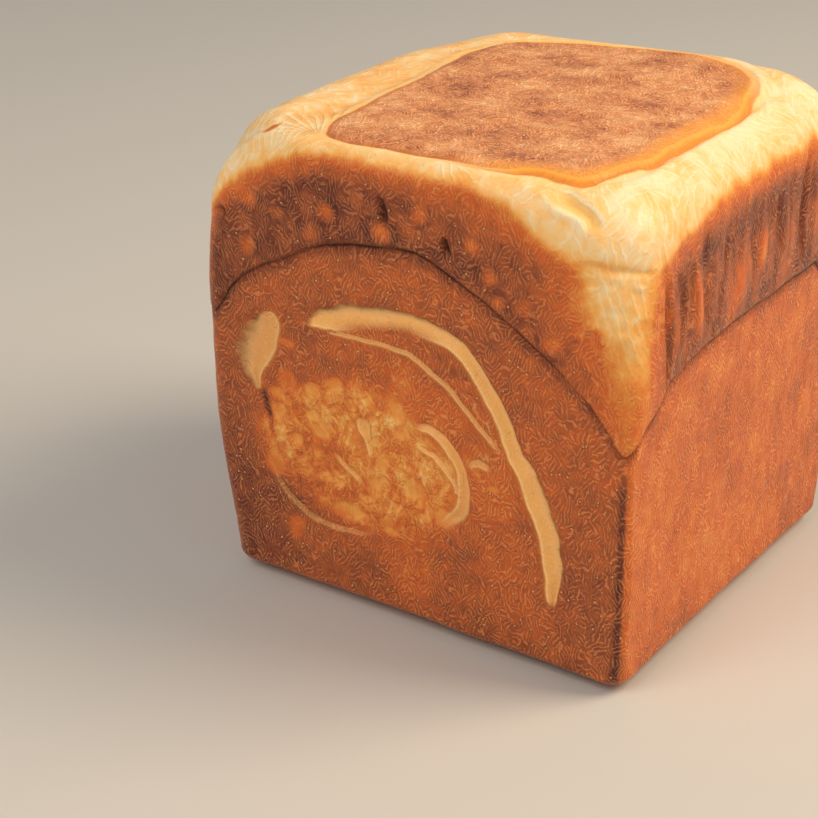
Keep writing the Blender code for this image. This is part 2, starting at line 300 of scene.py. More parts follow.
@dataclass(frozen=True)
class LoafForm:
    """The plain loaf: six leaning planes joined by wide rounds."""

    height: float = 129.5
    half_width: float = 60.0
    half_depth: float = 53.5
    front_lean: float = 0.0525
    front_twist: float = 5.2
    back_step: float = 7.0
    back_lean: float = 0.005
    right_step: float = 1.4
    right_lean: float = 0.004
    left_step: float = 0.9
    left_swell: float = 3.2
    left_draw: float = 1.7
    base_round: float = 3.5
    flat_inset: float = 9.6
    flat_bow: float = 4.0
    flat_slope: float = 0.16
    flat_step: float = 0.5
    grounded: float = 0.02
    patch_x: tuple[float, float] = (-32.0, 46.0)
    patch_y: tuple[float, float] = (-51.0, 50.0)
    patch_corner: float = 18.0
    patch_step: float = 1.3
    patch_crown: float = 0.8
    top_drop: float = 1.8
    cube_reach: Point = (78.0, 76.0, 82.0)
    core_low: Point = (-42.0, -34.0, -42.0)
    core_high: Point = (42.0, 36.0, 42.0)
    march_steps: int = 20

    def front(self, x: Array, z: Array) -> Array:
        """Distance of the coiled end in front of the middle."""
        turn = self.front_twist * (0.6 + 0.4 * x / self.half_width) * (1.0 - z / self.height)
        return self.half_depth + self.front_lean * z + turn

    def back(self, z: Array) -> Array:
        """Distance of the far end behind the middle."""
        return self.half_depth + self.back_step + self.back_lean * z

    def right(self, z: Array) -> Array:
        """Distance of the plain right side from the middle."""
        return self.half_width + self.right_step + self.right_lean * z

    def left(self, y: Array, z: Array) -> Array:
        """Distance of the left side, which swells above the base."""
        bulge = self.left_swell * ramp(0, 50, z) - self.left_draw * ramp(74, 112, z)
        ear = 0.7 * np.exp(-(((z - 106) / 5) ** 2) - ((y + 52) / 9) ** 2)
        return self.half_width + self.left_step + bulge + ear

    def patch_gap(self, x: Array, y: Array) -> Array:
        """Distance to the outline of the pressed patch, positive outside it."""
        mid_x, mid_y = sum(self.patch_x) / 2, sum(self.patch_y) / 2
        off_x = np.abs(x - mid_x) - (self.patch_x[1] - self.patch_x[0]) / 2 + self.patch_corner
        off_y = np.abs(y - mid_y) - (self.patch_y[1] - self.patch_y[0]) / 2 + self.patch_corner
        outside = np.hypot(np.maximum(off_x, 0), np.maximum(off_y, 0))
        return outside + np.minimum(np.maximum(off_x, off_y), 0) - self.patch_corner

    def top(self, x: Array, y: Array) -> Array:
        """Height of the top: the pressed patch, its crown and the lower shoulders."""
        apart = self.patch_gap(x, y)
        inside = 1.0 - ramp(-2.0, 5.0, apart)
        crown = self.patch_crown * (1.0 - ramp(0, 60, np.hypot(x - 14, y - 12)))
        fall = 0.8 * ramp(-34, -50, x) * ramp(-15, 20, y)
        tilt = (1.5 * ramp(-5, 25, x) - 0.8 * ramp(5, -35, x)) * ramp(5, 50, y)
        groove = 1.1 * swell(apart, 3.2, 1.8) * ramp(20, 42, x)
        level = self.height - self.top_drop - fall + tilt
        return level + (crown + self.patch_step) * inside - groove

    def underside(self, x: Array, y: Array) -> Array:
        """Height of the underside: flat in the middle, rising towards its edges."""
        side = np.maximum(x - self.right(0.0), -x - self.left(y, 0.0))
        side += self.flat_inset + self.flat_bow * (1.0 - (y / self.half_depth) ** 2)
        end = np.maximum(-y - self.front(x, 0.0), y - self.back(0.0))
        end += self.flat_inset + self.flat_bow * (1.0 - (x / self.half_width) ** 2)
        return self.flat_slope * np.maximum(np.maximum(side, end), 0.0)

    def rounds(self, x: Array, y: Array, z: Array) -> tuple[Array, ...]:
        """Rounding of the front, back, right, left and top at each point."""
        high = ramp(96, 118, z)
        near_right = ramp(20, 52, x)
        near_left = ramp(-28, -56, x)
        near_side = np.maximum(near_left, near_right)
        near_front = ramp(-40, -56, y)
        near_back = ramp(20, 50, y)

        upright_right = blend(blend(7.0, 4.0, ramp(0, 14, z)), 9.0, ramp(55, 105, z))
        upright_left = blend(blend(8.0, 5.5, ramp(0, 40, z)), 7.0, ramp(85, 115, z))
        upright = blend(upright_left, upright_right, ramp(-30, 30, x))
        front = blend(upright, blend(blend(6.0, 16.0, near_right), 7.0, near_left), high)
        back = blend(upright + 1.0, blend(10.0, blend(12.0, 18.0, near_left), near_side), high)
        right = blend(upright, 15.0 + 2.0 * near_front + 8.0 * near_back, high)
        left = blend(upright, blend(blend(16.0, 32.0, near_front), 26.0, near_back), high)

        reach = 9.0
        gaps = (x + self.left(y, z), self.right(z) - x, y + self.front(x, z), self.back(z) - y)
        shares = [np.exp(-np.maximum(gap, 0) / reach) for gap in gaps]
        drops = (
            blend(blend(13.0, 26.0, near_front), 18.0, near_back),
            14.0 + 6.0 * near_back,
            blend(blend(5.0, 15.0, near_right), 24.0, near_left),
            blend(7.0, blend(11.0, 16.0, near_left), near_side),
        )
        top = sum(share * drop for share, drop in zip(shares, drops)) / sum(shares)
        return front, back, right, left, top

    def outside_by(self, points: Array) -> Array:
        """Negative inside the plain loaf, positive outside, zero on its skin."""
        x, y, z = points.T
        front, back, right, left, top = self.rounds(x, y, z)
        total = np.zeros(len(points))
        for gap, radius in (
            (-y - self.front(x, z), front),
            (y - self.back(z), back),
            (x - self.right(z), right),
            (-x - self.left(y, z), left),
            (z - self.top(x, y), top),
            (self.underside(x, y) - z, self.base_round),
        ):
            total += np.maximum(1.0 + gap / radius, 0.0) ** 2
        return np.sqrt(total) - 1.0

    def march(self, cube: Array) -> Array:
        """Move the points of a cube of half size 1 onto the skin.

        Args:
            cube: Points on the cube.

        Returns:
            The same points on the skin, in millimetres.
        """
        middle = np.array((0.0, 0.0, self.height / 2))
        far = cube * np.array(self.cube_reach)
        core = np.clip(far, self.core_low, self.core_high)
        low = np.zeros(len(cube))
        high = np.ones(len(cube))
        for _ in range(self.march_steps):
            half = (low + high) / 2
            out = self.outside_by(middle + core + (far - core) * half[:, None]) > 0
            high = np.where(out, half, high)
            low = np.where(out, low, half)
        return middle + core + (far - core) * low[:, None]

    def skin(self, points: Array) -> Skin:
        """Skin at these points, with the unit normals of the plain form."""
        step = 0.05
        slopes = [self.outside_by(points + step * axis) - self.outside_by(points - step * axis)
                  for axis in np.eye(3)]
        normals = np.stack(slopes, axis=1)
        return Skin(points, normals / np.linalg.norm(normals, axis=1)[:, None])


@dataclass(frozen=True)
class FoldLine:
    """The line round the loaf where the risen dough hangs over the lower loaf.

    On the ends it is an arch through key points, and on the flanks a level
    line that drops to both uprights.
    """

    arch: Keys = (
        (-62, 74), (-58, 78.5), (-54.5, 84), (-50, 88.5), (-43, 92.8), (-36, 96.2), (-30, 99.4), (-24, 102),
        (-17, 103.6), (-9, 104.8), (-3, 105.6), (2, 105.4), (7, 104), (13, 101.2), (18, 98.9), (23, 96.4),
        (29, 93), (34, 90), (39, 87), (43, 84.2), (47, 80.6), (51, 77), (55, 73), (60, 66), (62, 64),
    )
    right: Keys = (
        (-60, 66), (-53, 72), (-46, 75), (-42, 79.5), (-32, 81), (-11, 83), (25, 83), (42, 83), (60, 66),
    )
    left: Keys = ((-60, 78), (-46, 81), (-34, 83), (34, 83), (60, 78))
    overhang: float = 0.75
    crease_depth: float = 0.5
    crease_width: float = 0.8

    def above(self, skin: Skin) -> Array:
        """Height of each point over the fold line, joined round the uprights."""
        x, y, z = skin.points.T
        lines = {
            Side.FRONT: follow(x, self.arch),
            Side.BACK: follow(x, self.arch),
            Side.RIGHT: follow(y, self.right),
            Side.LEFT: follow(y, self.left),
        }
        total = sum(skin.share(side) * line for side, line in lines.items())
        weight = sum(skin.share(side) for side in lines) + 1e-6
        return z - total / weight - 0.45 * lumps(skin.points, 5.5, 11)

    def relief(self, skin: Skin, above: Array) -> Array:
        """Overhanging lip above the line and the crease under it."""
        x = skin.points[:, 0]
        drawn_in = 0.55 * ramp(38, 52, x) * skin.share(Side.FRONT)
        hang = self.overhang * (1.0 - 0.65 * ramp(-38, -56, x) - drawn_in)
        lip = hang * ramp(-0.3, 1.1, above) * (1.0 - 0.7 * ramp(4, 32, above))
        crease = self.crease_depth * swell(above, -0.5, self.crease_width)
        return skin.upright() * (lip - crease)

    def strength(self, skin: Skin) -> Array:
        """How strongly the painted shade and highlight of the fold line show, uneven along its run."""
        x = skin.points[:, 0]
        upright = ramp(0.35, 0.8, skin.upright())
        faint = (0.75 * ramp(40, 45, x) - 0.55 * swell(x, 51.5, 2.5)) * skin.share(Side.FRONT)
        return upright * (0.78 + 0.12 * ramp(8, 20, x) - faint + 0.45 * lumps(skin.points, 5.0, 82))


@dataclass(frozen=True)
class Groove:
    """A fold of the coil: a recess whose floor climbs to a raised inner lip.

    The keys run along the inner lip, or that share of the width off it, with
    the outer edge on their left. The widths are pairs of place along the keys,
    from 0 to 1, and width there.
    """

    keys: Keys
    widths: Keys
    depth: float
    lip: float
    pale: float = 1.0
    taper: float = 0.12
    soft_until: float = 0.01
    keys_off_lip: float = 0.0

    def shape(self, where: Array) -> tuple[Array, Array, Array, Array]:
        """Relief of the groove and the place of the skin across it.

        Args:
            where: Places in x and z on the coiled end.

        Returns:
            The rows that the groove touches, its relief, the place across it
            (millimetres before the lip, then 0 to 1 over the floor) and how
            strongly it shows.
        """
        rows, apart, along = Trail(self.keys, 11.0).near(where)
        room = ramp(0.0, self.taper, along) * (1.0 - ramp(1.0 - self.taper, 1.0, along))
        width = follow(along, self.widths)
        flat = flat_points(where[rows])
        apart = apart + self.keys_off_lip * width + 0.30 * lumps(flat, 4.0, 29) + 0.14 * lumps(flat, 2.0, 30)
        across = np.where(apart < 0.0, apart, apart / width)
        floor = ramp(-0.05, 0.70, across) * (1.0 - ramp(0.80, 1.06, across))
        part = along / self.soft_until
        crisp = np.maximum(1.0 - ramp(0.2, 0.4, part), ramp(0.6, 1.0, part))
        relief = room * (self.lip * crisp * swell(apart, -0.4, 0.75) - self.depth * floor)
        shown = blend(ramp(-0.1, 0.45, across), 1.0, crisp)
        return rows, relief, across, self.pale * room * shown


@dataclass(frozen=True)
class CoilEnd:
    """The end face with the coil of the rolled dough.

    Attributes:
        grooves: The long arc and the thin one inside it, the leaf at its left
            end, the teardrop in the heart, the curl right of it with its inner
            line, and three faint short folds.
        crevice: Keys of the crevice under the leaf, sunk in and darkened with painted shade.
        blobs: Middle and half sizes of the smooth ovals between the wrinkles.
        heart: Middle and half sizes of the netted heart.
    """

    grooves: tuple[Groove, ...] = (
        Groove(
            ((-31, 79.0), (-24, 79.8), (-12, 82), (-3, 84), (7, 84.3), (14, 82.3), (19, 77), (25, 68),
             (29, 58), (32, 54), (35, 46), (38, 39), (39.5, 33), (40.5, 26), (41, 20)),
            ((0, 0.8), (0.05, 4.4), (0.12, 6.4), (0.18, 5.4), (0.29, 3.7), (0.40, 3.3), (0.57, 3.9),
             (0.64, 4.7), (0.71, 5.3), (0.79, 5.2), (0.88, 4.2), (1, 1.4)),
            depth=1.15, lip=0.40, taper=0.03, soft_until=0.34),
        Groove(
            ((-27, 78.4), (-20, 79), (-8, 79), (-1, 78.4), (5, 75.8), (11, 72.6), (16, 67.8), (21, 63.6),
             (27.5, 57.5)),
            ((0, 0.5), (0.4, 0.8), (0.8, 0.7), (1, 0.5)), depth=0.30, lip=0.45, pale=0.65, taper=0.08),
        Groove(
            ((-47.2, 56.4), (-48.9, 61.2), (-48.8, 65.6), (-46.8, 69.7), (-45.0, 73.2), (-44.2, 76.6),
             (-45.2, 79.0)),
            ((0, 0.6), (0.167, 6.0), (0.333, 9.3), (0.5, 9.8), (0.667, 9.8), (0.833, 8.8), (0.93, 6.2),
             (1, 1.8)),
            depth=0.85, lip=0.15, pale=0.74, taper=0.03, keys_off_lip=0.5),
        Groove(
            ((-14.5, 57.0), (-14.0, 54.5), (-12.9, 51.4), (-12.1, 46.9)),
            ((0, 1.8), (0.2, 3.5), (0.4, 3.2), (0.7, 1.4), (1, 0.6)),
            depth=1.0, lip=0.15, pale=0.80, taper=0.03, keys_off_lip=0.5),
        Groove(
            ((1, 58.5), (6, 58.5), (10, 56), (14, 51), (15, 46), (13.5, 40), (8, 33)),
            ((0, 1.4), (0.3, 2.4), (0.6, 2.2), (0.85, 3.6), (1, 2.0)), depth=0.95, lip=0.35, pale=0.85),
        Groove(
            ((2, 54), (8, 51.5), (13, 46.5), (13.5, 43)),
            ((0, 0.6), (0.5, 0.9), (1, 0.6)), depth=0.4, lip=0.35, pale=0.75),
        Groove(
            ((-46, 40), (-41, 30), (-33, 24.5), (-24, 22.6), (-17, 23.4), (-9, 25.5)),
            ((0, 0.7), (0.5, 1.1), (1, 0.8)), depth=0.45, lip=0.4, pale=0.3, taper=0.25),
        Groove(
            ((-24, 45), (-19, 41), (-14, 37.5)),
            ((0, 0.6), (0.5, 0.9), (1, 0.6)), depth=0.35, lip=0.4, pale=0.55, taper=0.25),
        Groove(
            ((17, 52), (20, 53.5), (24, 52.5)),
            ((0, 1.0), (0.5, 1.6), (1, 1.0)), depth=0.4, lip=0.25, pale=0.6, taper=0.25),
    )
    crevice: Keys = ((-46.0, 57.8), (-45.0, 54), (-44.0, 49.5), (-43.2, 43.5))
    blobs: tuple[Round, ...] = (
        (-4, 62, 2.6, 3.4), (-2.6, 56.5, 2.2, 2.8), (-38, 61.5, 3.4, 3.2), (-41.5, 57.5, 2.6, 2.4),
        (-41, 52.5, 3.0, 2.6), (-27.5, 50, 4.6, 3.0), (-35, 45.5, 2.2, 2.4), (-23, 64, 3.2, 2.6),
        (1, 41, 3.6, 3.6), (-43, 36, 3.4, 4.4), (-37, 72, 2.8, 1.6), (-20, 28.5, 7.0, 2.6),
        (-11, 38.5, 2.6, 3.6), (-26, 37, 2.0, 1.8), (-22, 36, 1.6, 1.8), (-30, 61, 3.6, 2.4),
        (10, 35.5, 3.4, 3.2), (24, 48, 2.2, 1.2), (19.5, 50.5, 1.4, 2.2), (-37, 19, 3.4, 4.6),
        (-6, 27, 2.6, 1.6), (-8, 46, 2.0, 3.0), (-30, 54, 2.6, 2.2),
    )
    heart: Round = (-15.5, 45.5, 31.0, 20.5)

    def mottle(self, where: Array) -> Array:
        """How far inside the netted heart of the coil each place lies."""
        mid_x, mid_z, reach_x, reach_z = self.heart
        off = where - (mid_x, mid_z)
        turned = np.hypot((off[:, 0] + 0.18 * off[:, 1]) / reach_x, off[:, 1] / reach_z)
        ragged = turned + 0.10 * lumps(flat_points(where), 6.0, 26)
        return 1.0 - ramp(0.80, 1.12, ragged)

    def blob_shape(self, where: Array) -> Array:
        """Smooth ovals of the coil's heart, 1 in their middle."""
        shape = np.zeros(len(where))
        bent = where + 0.7 * np.column_stack([lumps(flat_points(where), 3.5, seed) for seed in (27, 28)])
        for mid_x, mid_z, reach_x, reach_z in self.blobs:
            off = (bent - (mid_x, mid_z)) / (reach_x, reach_z)
            shape = np.maximum(shape, 1.0 - ramp(0.60, 1.12, np.hypot(*off.T)))
        return shape

    def crevice_shape(self, where: Array) -> Array:
        """Crevice at the left of the heart, 1 in its middle; the skin is sunk in there and given painted
        shade.
        """
        shape = np.zeros(len(where))
        rows, apart, along = Trail(self.crevice, 4.0).near(where)
        shape[rows] = bow(along) ** 0.5 * swell(apart, 0.0, 0.9)
        return shape

    def relief(self, where: Array, skin: Skin) -> Array:
        """Relief of the whole end face below the fold line."""
        total = -0.6 * self.crevice_shape(where)
        for groove in self.grooves:
            rows, relief, _, _ = groove.shape(where)
            total[rows] += relief
        heart = self.mottle(where)
        blob = self.blob_shape(where)
        wrinkle = veins(skin.points, 3.4, 0.22, 21) - 0.5
        total += heart * (0.30 * lumps(skin.points, 3.6, 22) + 0.26 * wrinkle * (1.0 - blob))
        return total - 0.32 * blob * blend(0.6, 1.0, heart)

    def looks(self, where: Array, skin: Skin) -> dict[str, Array]:
        """Looks of the end face below the fold line.

        Args:
            where: Places in x and z.
            skin: The skin at those places.

        Returns:
            Bake level, smoothness, heart and the place across the folds, by name.
        """
        x, z = where.T
        bake = 0.61 + 0.05 * lumps(skin.points, 14.0, 23)
        bake += 0.05 * ramp(-42, -58, x) + 0.09 * ramp(-26, -50, x) * ramp(50, 18, z)
        bake += 0.09 * ramp(28, 56, x) * ramp(60, 18, z) + 0.04 * ramp(20, 4, z)
        bake -= 0.03 * ramp(-20, 10, x) * ramp(30, 6, z)
        bake -= 0.13 * swell(np.hypot((x - 2) / 34, (z - 52) / 26), 0.0, 1.0)
        heart = self.mottle(where)
        blob = self.blob_shape(where)
        patchy = ramp(-0.25, 0.55, lumps(skin.points, 4.2, 24))
        bake -= heart * (0.14 + 0.09 * patchy)
        satin = heart * (0.40 + 0.30 * patchy)
        bake = blend(bake, 0.31, blob * blend(0.5, 0.92, heart))
        satin = np.maximum(satin, 0.8 * blob)
        # Painted shade in the crevice.
        bake += 0.34 * self.crevice_shape(where)

        fold = np.zeros(len(where))
        fold_u = np.full(len(where), -FAR)
        nearest = np.full(len(where), FAR)
        second = np.full(len(where), FAR)
        for groove in self.grooves:
            rows, _, across, strength = groove.shape(where)
            outside = np.maximum(-0.4 - across, 2.0 * (across - 1.0)) + 2.0 * (1.0 - strength)
            closer = outside < nearest[rows]
            second[rows] = np.where(closer, nearest[rows], np.minimum(second[rows], outside))
            chosen = rows[closer]
            nearest[chosen] = outside[closer]
            fold[chosen] = strength[closer]
            fold_u[chosen] = across[closer]
        # Faded out where the place across jumps from one fold to the next.
        fold *= ramp(-5.0, -3.4, fold_u) * (1.0 - ramp(1.2, 1.45, fold_u)) * ramp(0.0, 0.5, second - nearest)
        on_floor = fold * ramp(-0.9, -0.3, fold_u) * (1.0 - ramp(0.98, 1.12, fold_u))
        satin = np.maximum(satin, 0.55 * on_floor)
        heart = heart * (1.0 - on_floor) * (1.0 - 0.75 * blob)
        return {"bake": bake, "satin": satin, "heart": heart, "fold": fold, "fold_u": fold_u}


def toasted(over: Array, bake: Array, z: Array) -> tuple[Array, Array]:
    """Bake level across a pale edge: cream over it, gold and orange under it, then brown.

    Args:
        over: Place over the edge, in millimetres where the edge is of plain softness.
        bake: Bake level of the brown skin.
        z: Height of each place; the pale skin is browner lower down.

    Returns:
        The bake level and how pale each place is.
    """
    light = 0.10 + 0.34 * ramp(103, 76, z) + 0.04 * ramp(76, 62, z)
    level = np.interp(over, (-4.5, -1.2, 0.0, 0.8, 1.8, 5.0), (0.56, 0.47, 0.36, 0.25, 0.16, 0.11))
    level = blend(np.minimum(level, bake + 0.02), bake, 1.0 - ramp(-10.0, -3.5, over))
    return np.maximum(level, light), ramp(-0.6, 1.2, over)


@dataclass(frozen=True)
class UpperBand:
    """The dark band over the fold line on the ends, under the pale crest."""

    brown_below: Keys = (
        (-62, 103), (-59, 107), (-54, 111.6), (-48, 115.6), (-41, 120), (-31, 124.2), (-19, 126), (-2, 126.4),
        (7, 126), (16, 125.2), (22, 123.6), (28, 121.8), (32, 119.6), (36, 115.5), (40, 113), (47, 111),
        (62, 104),
    )
    strip_edge: Keys = (
        (56, 68), (60, 65), (63, 63.2), (67, 61.6), (74, 60.6), (82, 59.6), (90, 57.6), (96, 54.6),
        (99, 50.5), (111, 46.6), (118, 38.0),
    )
    slots: tuple[Line, ...] = (
        (((-7.5, 118), (-6.2, 114), (-6, 110.5)), 0.9, 1.6),
        (((10.6, 111.5), (11.3, 109), (12.4, 106.6)), 0.9, 1.6),
        (((-60.5, 103.5), (-57, 104.5), (-55, 103.0)), 0.8, 1.2),
    )
    slot_reach: float = 4.0
    pits: tuple[Round, ...] = (
        (-47, 110, 3.2, 0.6), (-23, 111, 2.6, 0.6), (-48, 97, 3.0, 0.5), (23, 104, 4.0, 0.5),
        (41, 91, 3.2, 0.8), (-7, 108.5, 3.0, 0.4), (-36, 104, 2.4, 0.4), (3, 115, 2.4, 0.4),
        (-30, 117, 2.6, 0.3),
    )
    spots: tuple[Round, ...] = (
        (-23, 111, 3.0, 0.20), (-47, 110, 3.4, 0.18), (-48, 97, 3.0, 0.14), (-7, 109, 3.6, 0.22),
        (41, 91, 3.6, 0.20), (19, 111, 2.6, 0.14), (23, 104, 2.8, 0.16), (26, 98, 2.4, 0.14),
        (-33, 118, 3.0, 0.10), (4, 116, 3.0, 0.12), (-14, 116, 2.4, 0.10), (-38, 108, 2.4, 0.10),
        (33, 99, 3.0, 0.10), (-27, 104.5, 3.6, 0.12),
    )

    def toast(self, where: Array, bake: Array) -> tuple[Array, Array]:
        """Lay the pale crest, the orange under it and the pale strip by the upright.

        Args:
            where: Places in x and z.
            bake: Bake level of the dark band itself.

        Returns:
            The bake level and how pale each place is.
        """
        x, z = where.T
        flat = flat_points(where)
        wobble = 0.7 * lumps(flat, 5.0, 31) + 0.45 * lumps(flat, (1.6, 3.5, 2.0), 32)
        crest = (z - follow(x, self.brown_below) + wobble) * blend(1.25, 0.75, ramp(-15, 28, x))
        strip = (x - follow(z, self.strip_edge) + 1.8 * wobble) * 0.47
        return toasted(np.maximum(crest, strip), bake, z)

    def relief(self, where: Array, skin: Skin) -> Array:
        """Pits, slots and soft blotches of the band."""
        total = np.zeros(len(where))
        for mid_x, mid_z, radius, depth in self.pits:
            apart = np.linalg.norm(where - (mid_x, mid_z), axis=1) / radius
            total += depth * (0.45 * swell(apart, 1.05, 0.35) - swell(apart, 0.0, 0.75))
        for rows, apart, room, half_width, depth in lines_near(self.slots, self.slot_reach, where):
            banks = 0.25 * swell(np.abs(apart), 2.0, 0.8)
            total[rows] += np.sqrt(room) * depth * (banks - swell(apart, 0.0, half_width))
        return total + 0.22 * lumps(skin.points, 5.0, 33)

    def looks(self, where: Array, skin: Skin) -> dict[str, Array]:
        """Bake level, smoothness and the painted shade in the slots of the band."""
        x, z = where.T
        bake = 0.74 + 0.09 * lumps(skin.points, 7.0, 34) + 0.05 * lumps(skin.points, 2.6, 35)
        bake -= 0.05 * ramp(-30, 20, x)
        for mid_x, mid_z, radius, change in self.spots:
            apart = np.linalg.norm(where - (mid_x, mid_z), axis=1) / radius
            bake -= 1.3 * change * swell(apart, 0.0, 0.8)
            bake += 0.5 * change * swell(apart, 1.15, 0.25)
        # Painted shade in the slots.
        crack = np.zeros(len(where))
        for rows, apart, room, half_width, _ in lines_near(self.slots, self.slot_reach, where):
            crack[rows] = np.maximum(crack[rows], np.sqrt(room) * swell(apart, 0.0, half_width * 0.8))
        bake, pale = self.toast(where, bake)
        return {"bake": bake, "satin": blend(0.25, 0.5, pale), "crack": crack * (1.0 - pale)}


@dataclass(frozen=True)
class Flank:
    """A plain side: upright folds above the fold line, even speckled skin below it."""

    brown_below: Keys = (
        (-62, 100), (-53, 107), (-51, 109), (-44, 112), (-37, 114.5), (-24, 117), (-8, 118.5), (18, 118.5),
        (29, 118), (60, 116),
    )
    strip_edge: Keys = ((56, -64), (63, -58), (67, -56.5), (70, -55), (76, -53.5), (101, -52.5), (109, -50.0))
    folds: tuple[Line, ...] = (
        (((-46, 110), (-44.5, 98), (-43.5, 79)), 0.9, 0.6),
        (((-39.5, 107), (-37, 99), (-38.5, 85)), 1.1, 0.6),
        (((-33.5, 107), (-33.0, 99), (-34.0, 92)), 0.9, 0.4),
        (((-25, 105), (-25.5, 96), (-23.5, 87)), 1.1, 0.45),
        (((-14, 108), (-15.5, 101), (-14.0, 95)), 1.0, 0.35),
        (((1, 104), (0.0, 98), (1.5, 91)), 1.1, 0.3),
        (((15, 110), (14.0, 102), (17, 92)), 1.3, 0.4),
        (((34, 118), (31, 109), (29.5, 98), (30, 86)), 1.4, 0.8),
        (((44, 112), (43, 100), (44, 86)), 1.5, 0.5),
    )
    fold_reach: float = 5.0
    bulges: tuple[tuple[float, float, float, float, float], ...] = (
        (-30, 98.5, 2.3, 7.5, 0.9), (-29, 91, 2.0, 5.0, 0.7), (6, 98.5, 3.0, 6.0, 0.8),
        (-5.5, 93.5, 4.4, 7.0, 0.9), (-41, 96, 1.8, 9.0, 0.5), (-20, 101, 2.4, 6.0, 0.4),
        (21, 97, 3.0, 7.0, 0.5), (38, 100, 3.0, 9.0, 0.6), (-5, 104, 2.2, 5.0, 0.4), (42, 42, 2.4, 4.0, 0.3),
    )

    def swayed(self, where: Array, skin: Skin) -> Array:
        """Places swayed a little sideways, so that the folds don't run straight."""
        return where + np.column_stack((0.9 * lumps(skin.points, 8.0, 50), np.zeros(len(where))))

    def bulge_shapes(self, where: Array) -> Iterator[tuple[float, Array]]:
        """Height of each bulge and its shape, 1 in its middle."""
        for mid_y, mid_z, reach_y, reach_z, height in self.bulges:
            off = (where - (mid_y, mid_z)) / (reach_y, reach_z)
            yield height, np.exp(-(off ** 2).sum(axis=1))

    def toast(self, where: Array, bake: Array) -> tuple[Array, Array]:
        """Lay the pale shoulder and the pale strip by the upright over the bake level."""
        y, z = where.T
        flat = flat_points(where)
        wobble = 1.2 * lumps(flat, (4.0, 9.0, 9.0), 41) + 0.7 * lumps(flat, (1.5, 5.0, 9.0), 42)
        shoulder = (z - follow(y, self.brown_below) + wobble) * 1.1
        strip = (follow(z, self.strip_edge) - y + wobble) * 0.7
        return toasted(np.maximum(shoulder, strip), bake, z)

    def relief(self, where: Array, skin: Skin, above: Array) -> Array:
        """Upright folds and long bulges over the fold line, and shallow grain below it."""
        upper = ramp(0.0, 5.0, above) * (1.0 - ramp(108, 120, where[:, 1]))
        total = upper * (0.32 * lumps(skin.points, (3.0, 3.0, 12.0), 43)
                         + 0.16 * lumps(skin.points, (1.5, 1.5, 7.0), 44))
        bent = self.swayed(where, skin)
        for rows, apart, room, half_width, depth in lines_near(self.folds, self.fold_reach, bent):
            banks = 0.3 * swell(np.abs(apart), 2.0, 0.9)
            total[rows] += np.sqrt(room) * depth * (banks - swell(apart, 0.0, half_width))
        for height, shape in self.bulge_shapes(bent):
            total += height * shape
        lower = ramp(0.0, -3.0, above)
        return total + lower * 0.11 * lumps(skin.points, (2.2, 2.2, 5.0), 45)

    def looks(self, where: Array, skin: Skin, above: Array) -> dict[str, Array]:
        """Bake level, smoothness and the painted shade along the folds of the side."""
        y, z = where.T
        lower = 0.51 + 0.04 * lumps(skin.points, 12.0, 46) + 0.05 * lumps(skin.points, (3.0, 3.0, 8.0), 47)
        lower += 0.04 * ramp(20, 50, y) + 0.05 * ramp(14, 3, z) - 0.05 * ramp(-49, -56, y)
        upper = 0.70 + 0.10 * lumps(skin.points, (4.0, 4.0, 14.0), 48)
        upper += 0.08 * lumps(skin.points, (1.8, 1.8, 8.0), 49)
        upper += 0.08 * ramp(96, 108, z)
        bake = blend(lower, upper, ramp(-0.3, 0.3, above))
        satin = 0.2 * ramp(-0.3, 0.3, above)
        # Painted shade along the upright folds, darker where a fold is deeper.
        crack = np.zeros(len(where))
        bent = self.swayed(where, skin)
        for rows, apart, room, half_width, depth in lines_near(self.folds, self.fold_reach, bent):
            crack[rows] = np.maximum(crack[rows], 0.45 * depth * room * swell(apart, 0.0, half_width * 0.6))
        for height, shape in self.bulge_shapes(bent):
            bake -= 0.30 * height * shape
            satin = np.maximum(satin, 0.8 * shape)
        bake, pale = self.toast(where, bake)
        return {"bake": bake, "satin": blend(satin, 0.5, pale), "crack": crack * (1.0 - pale)}


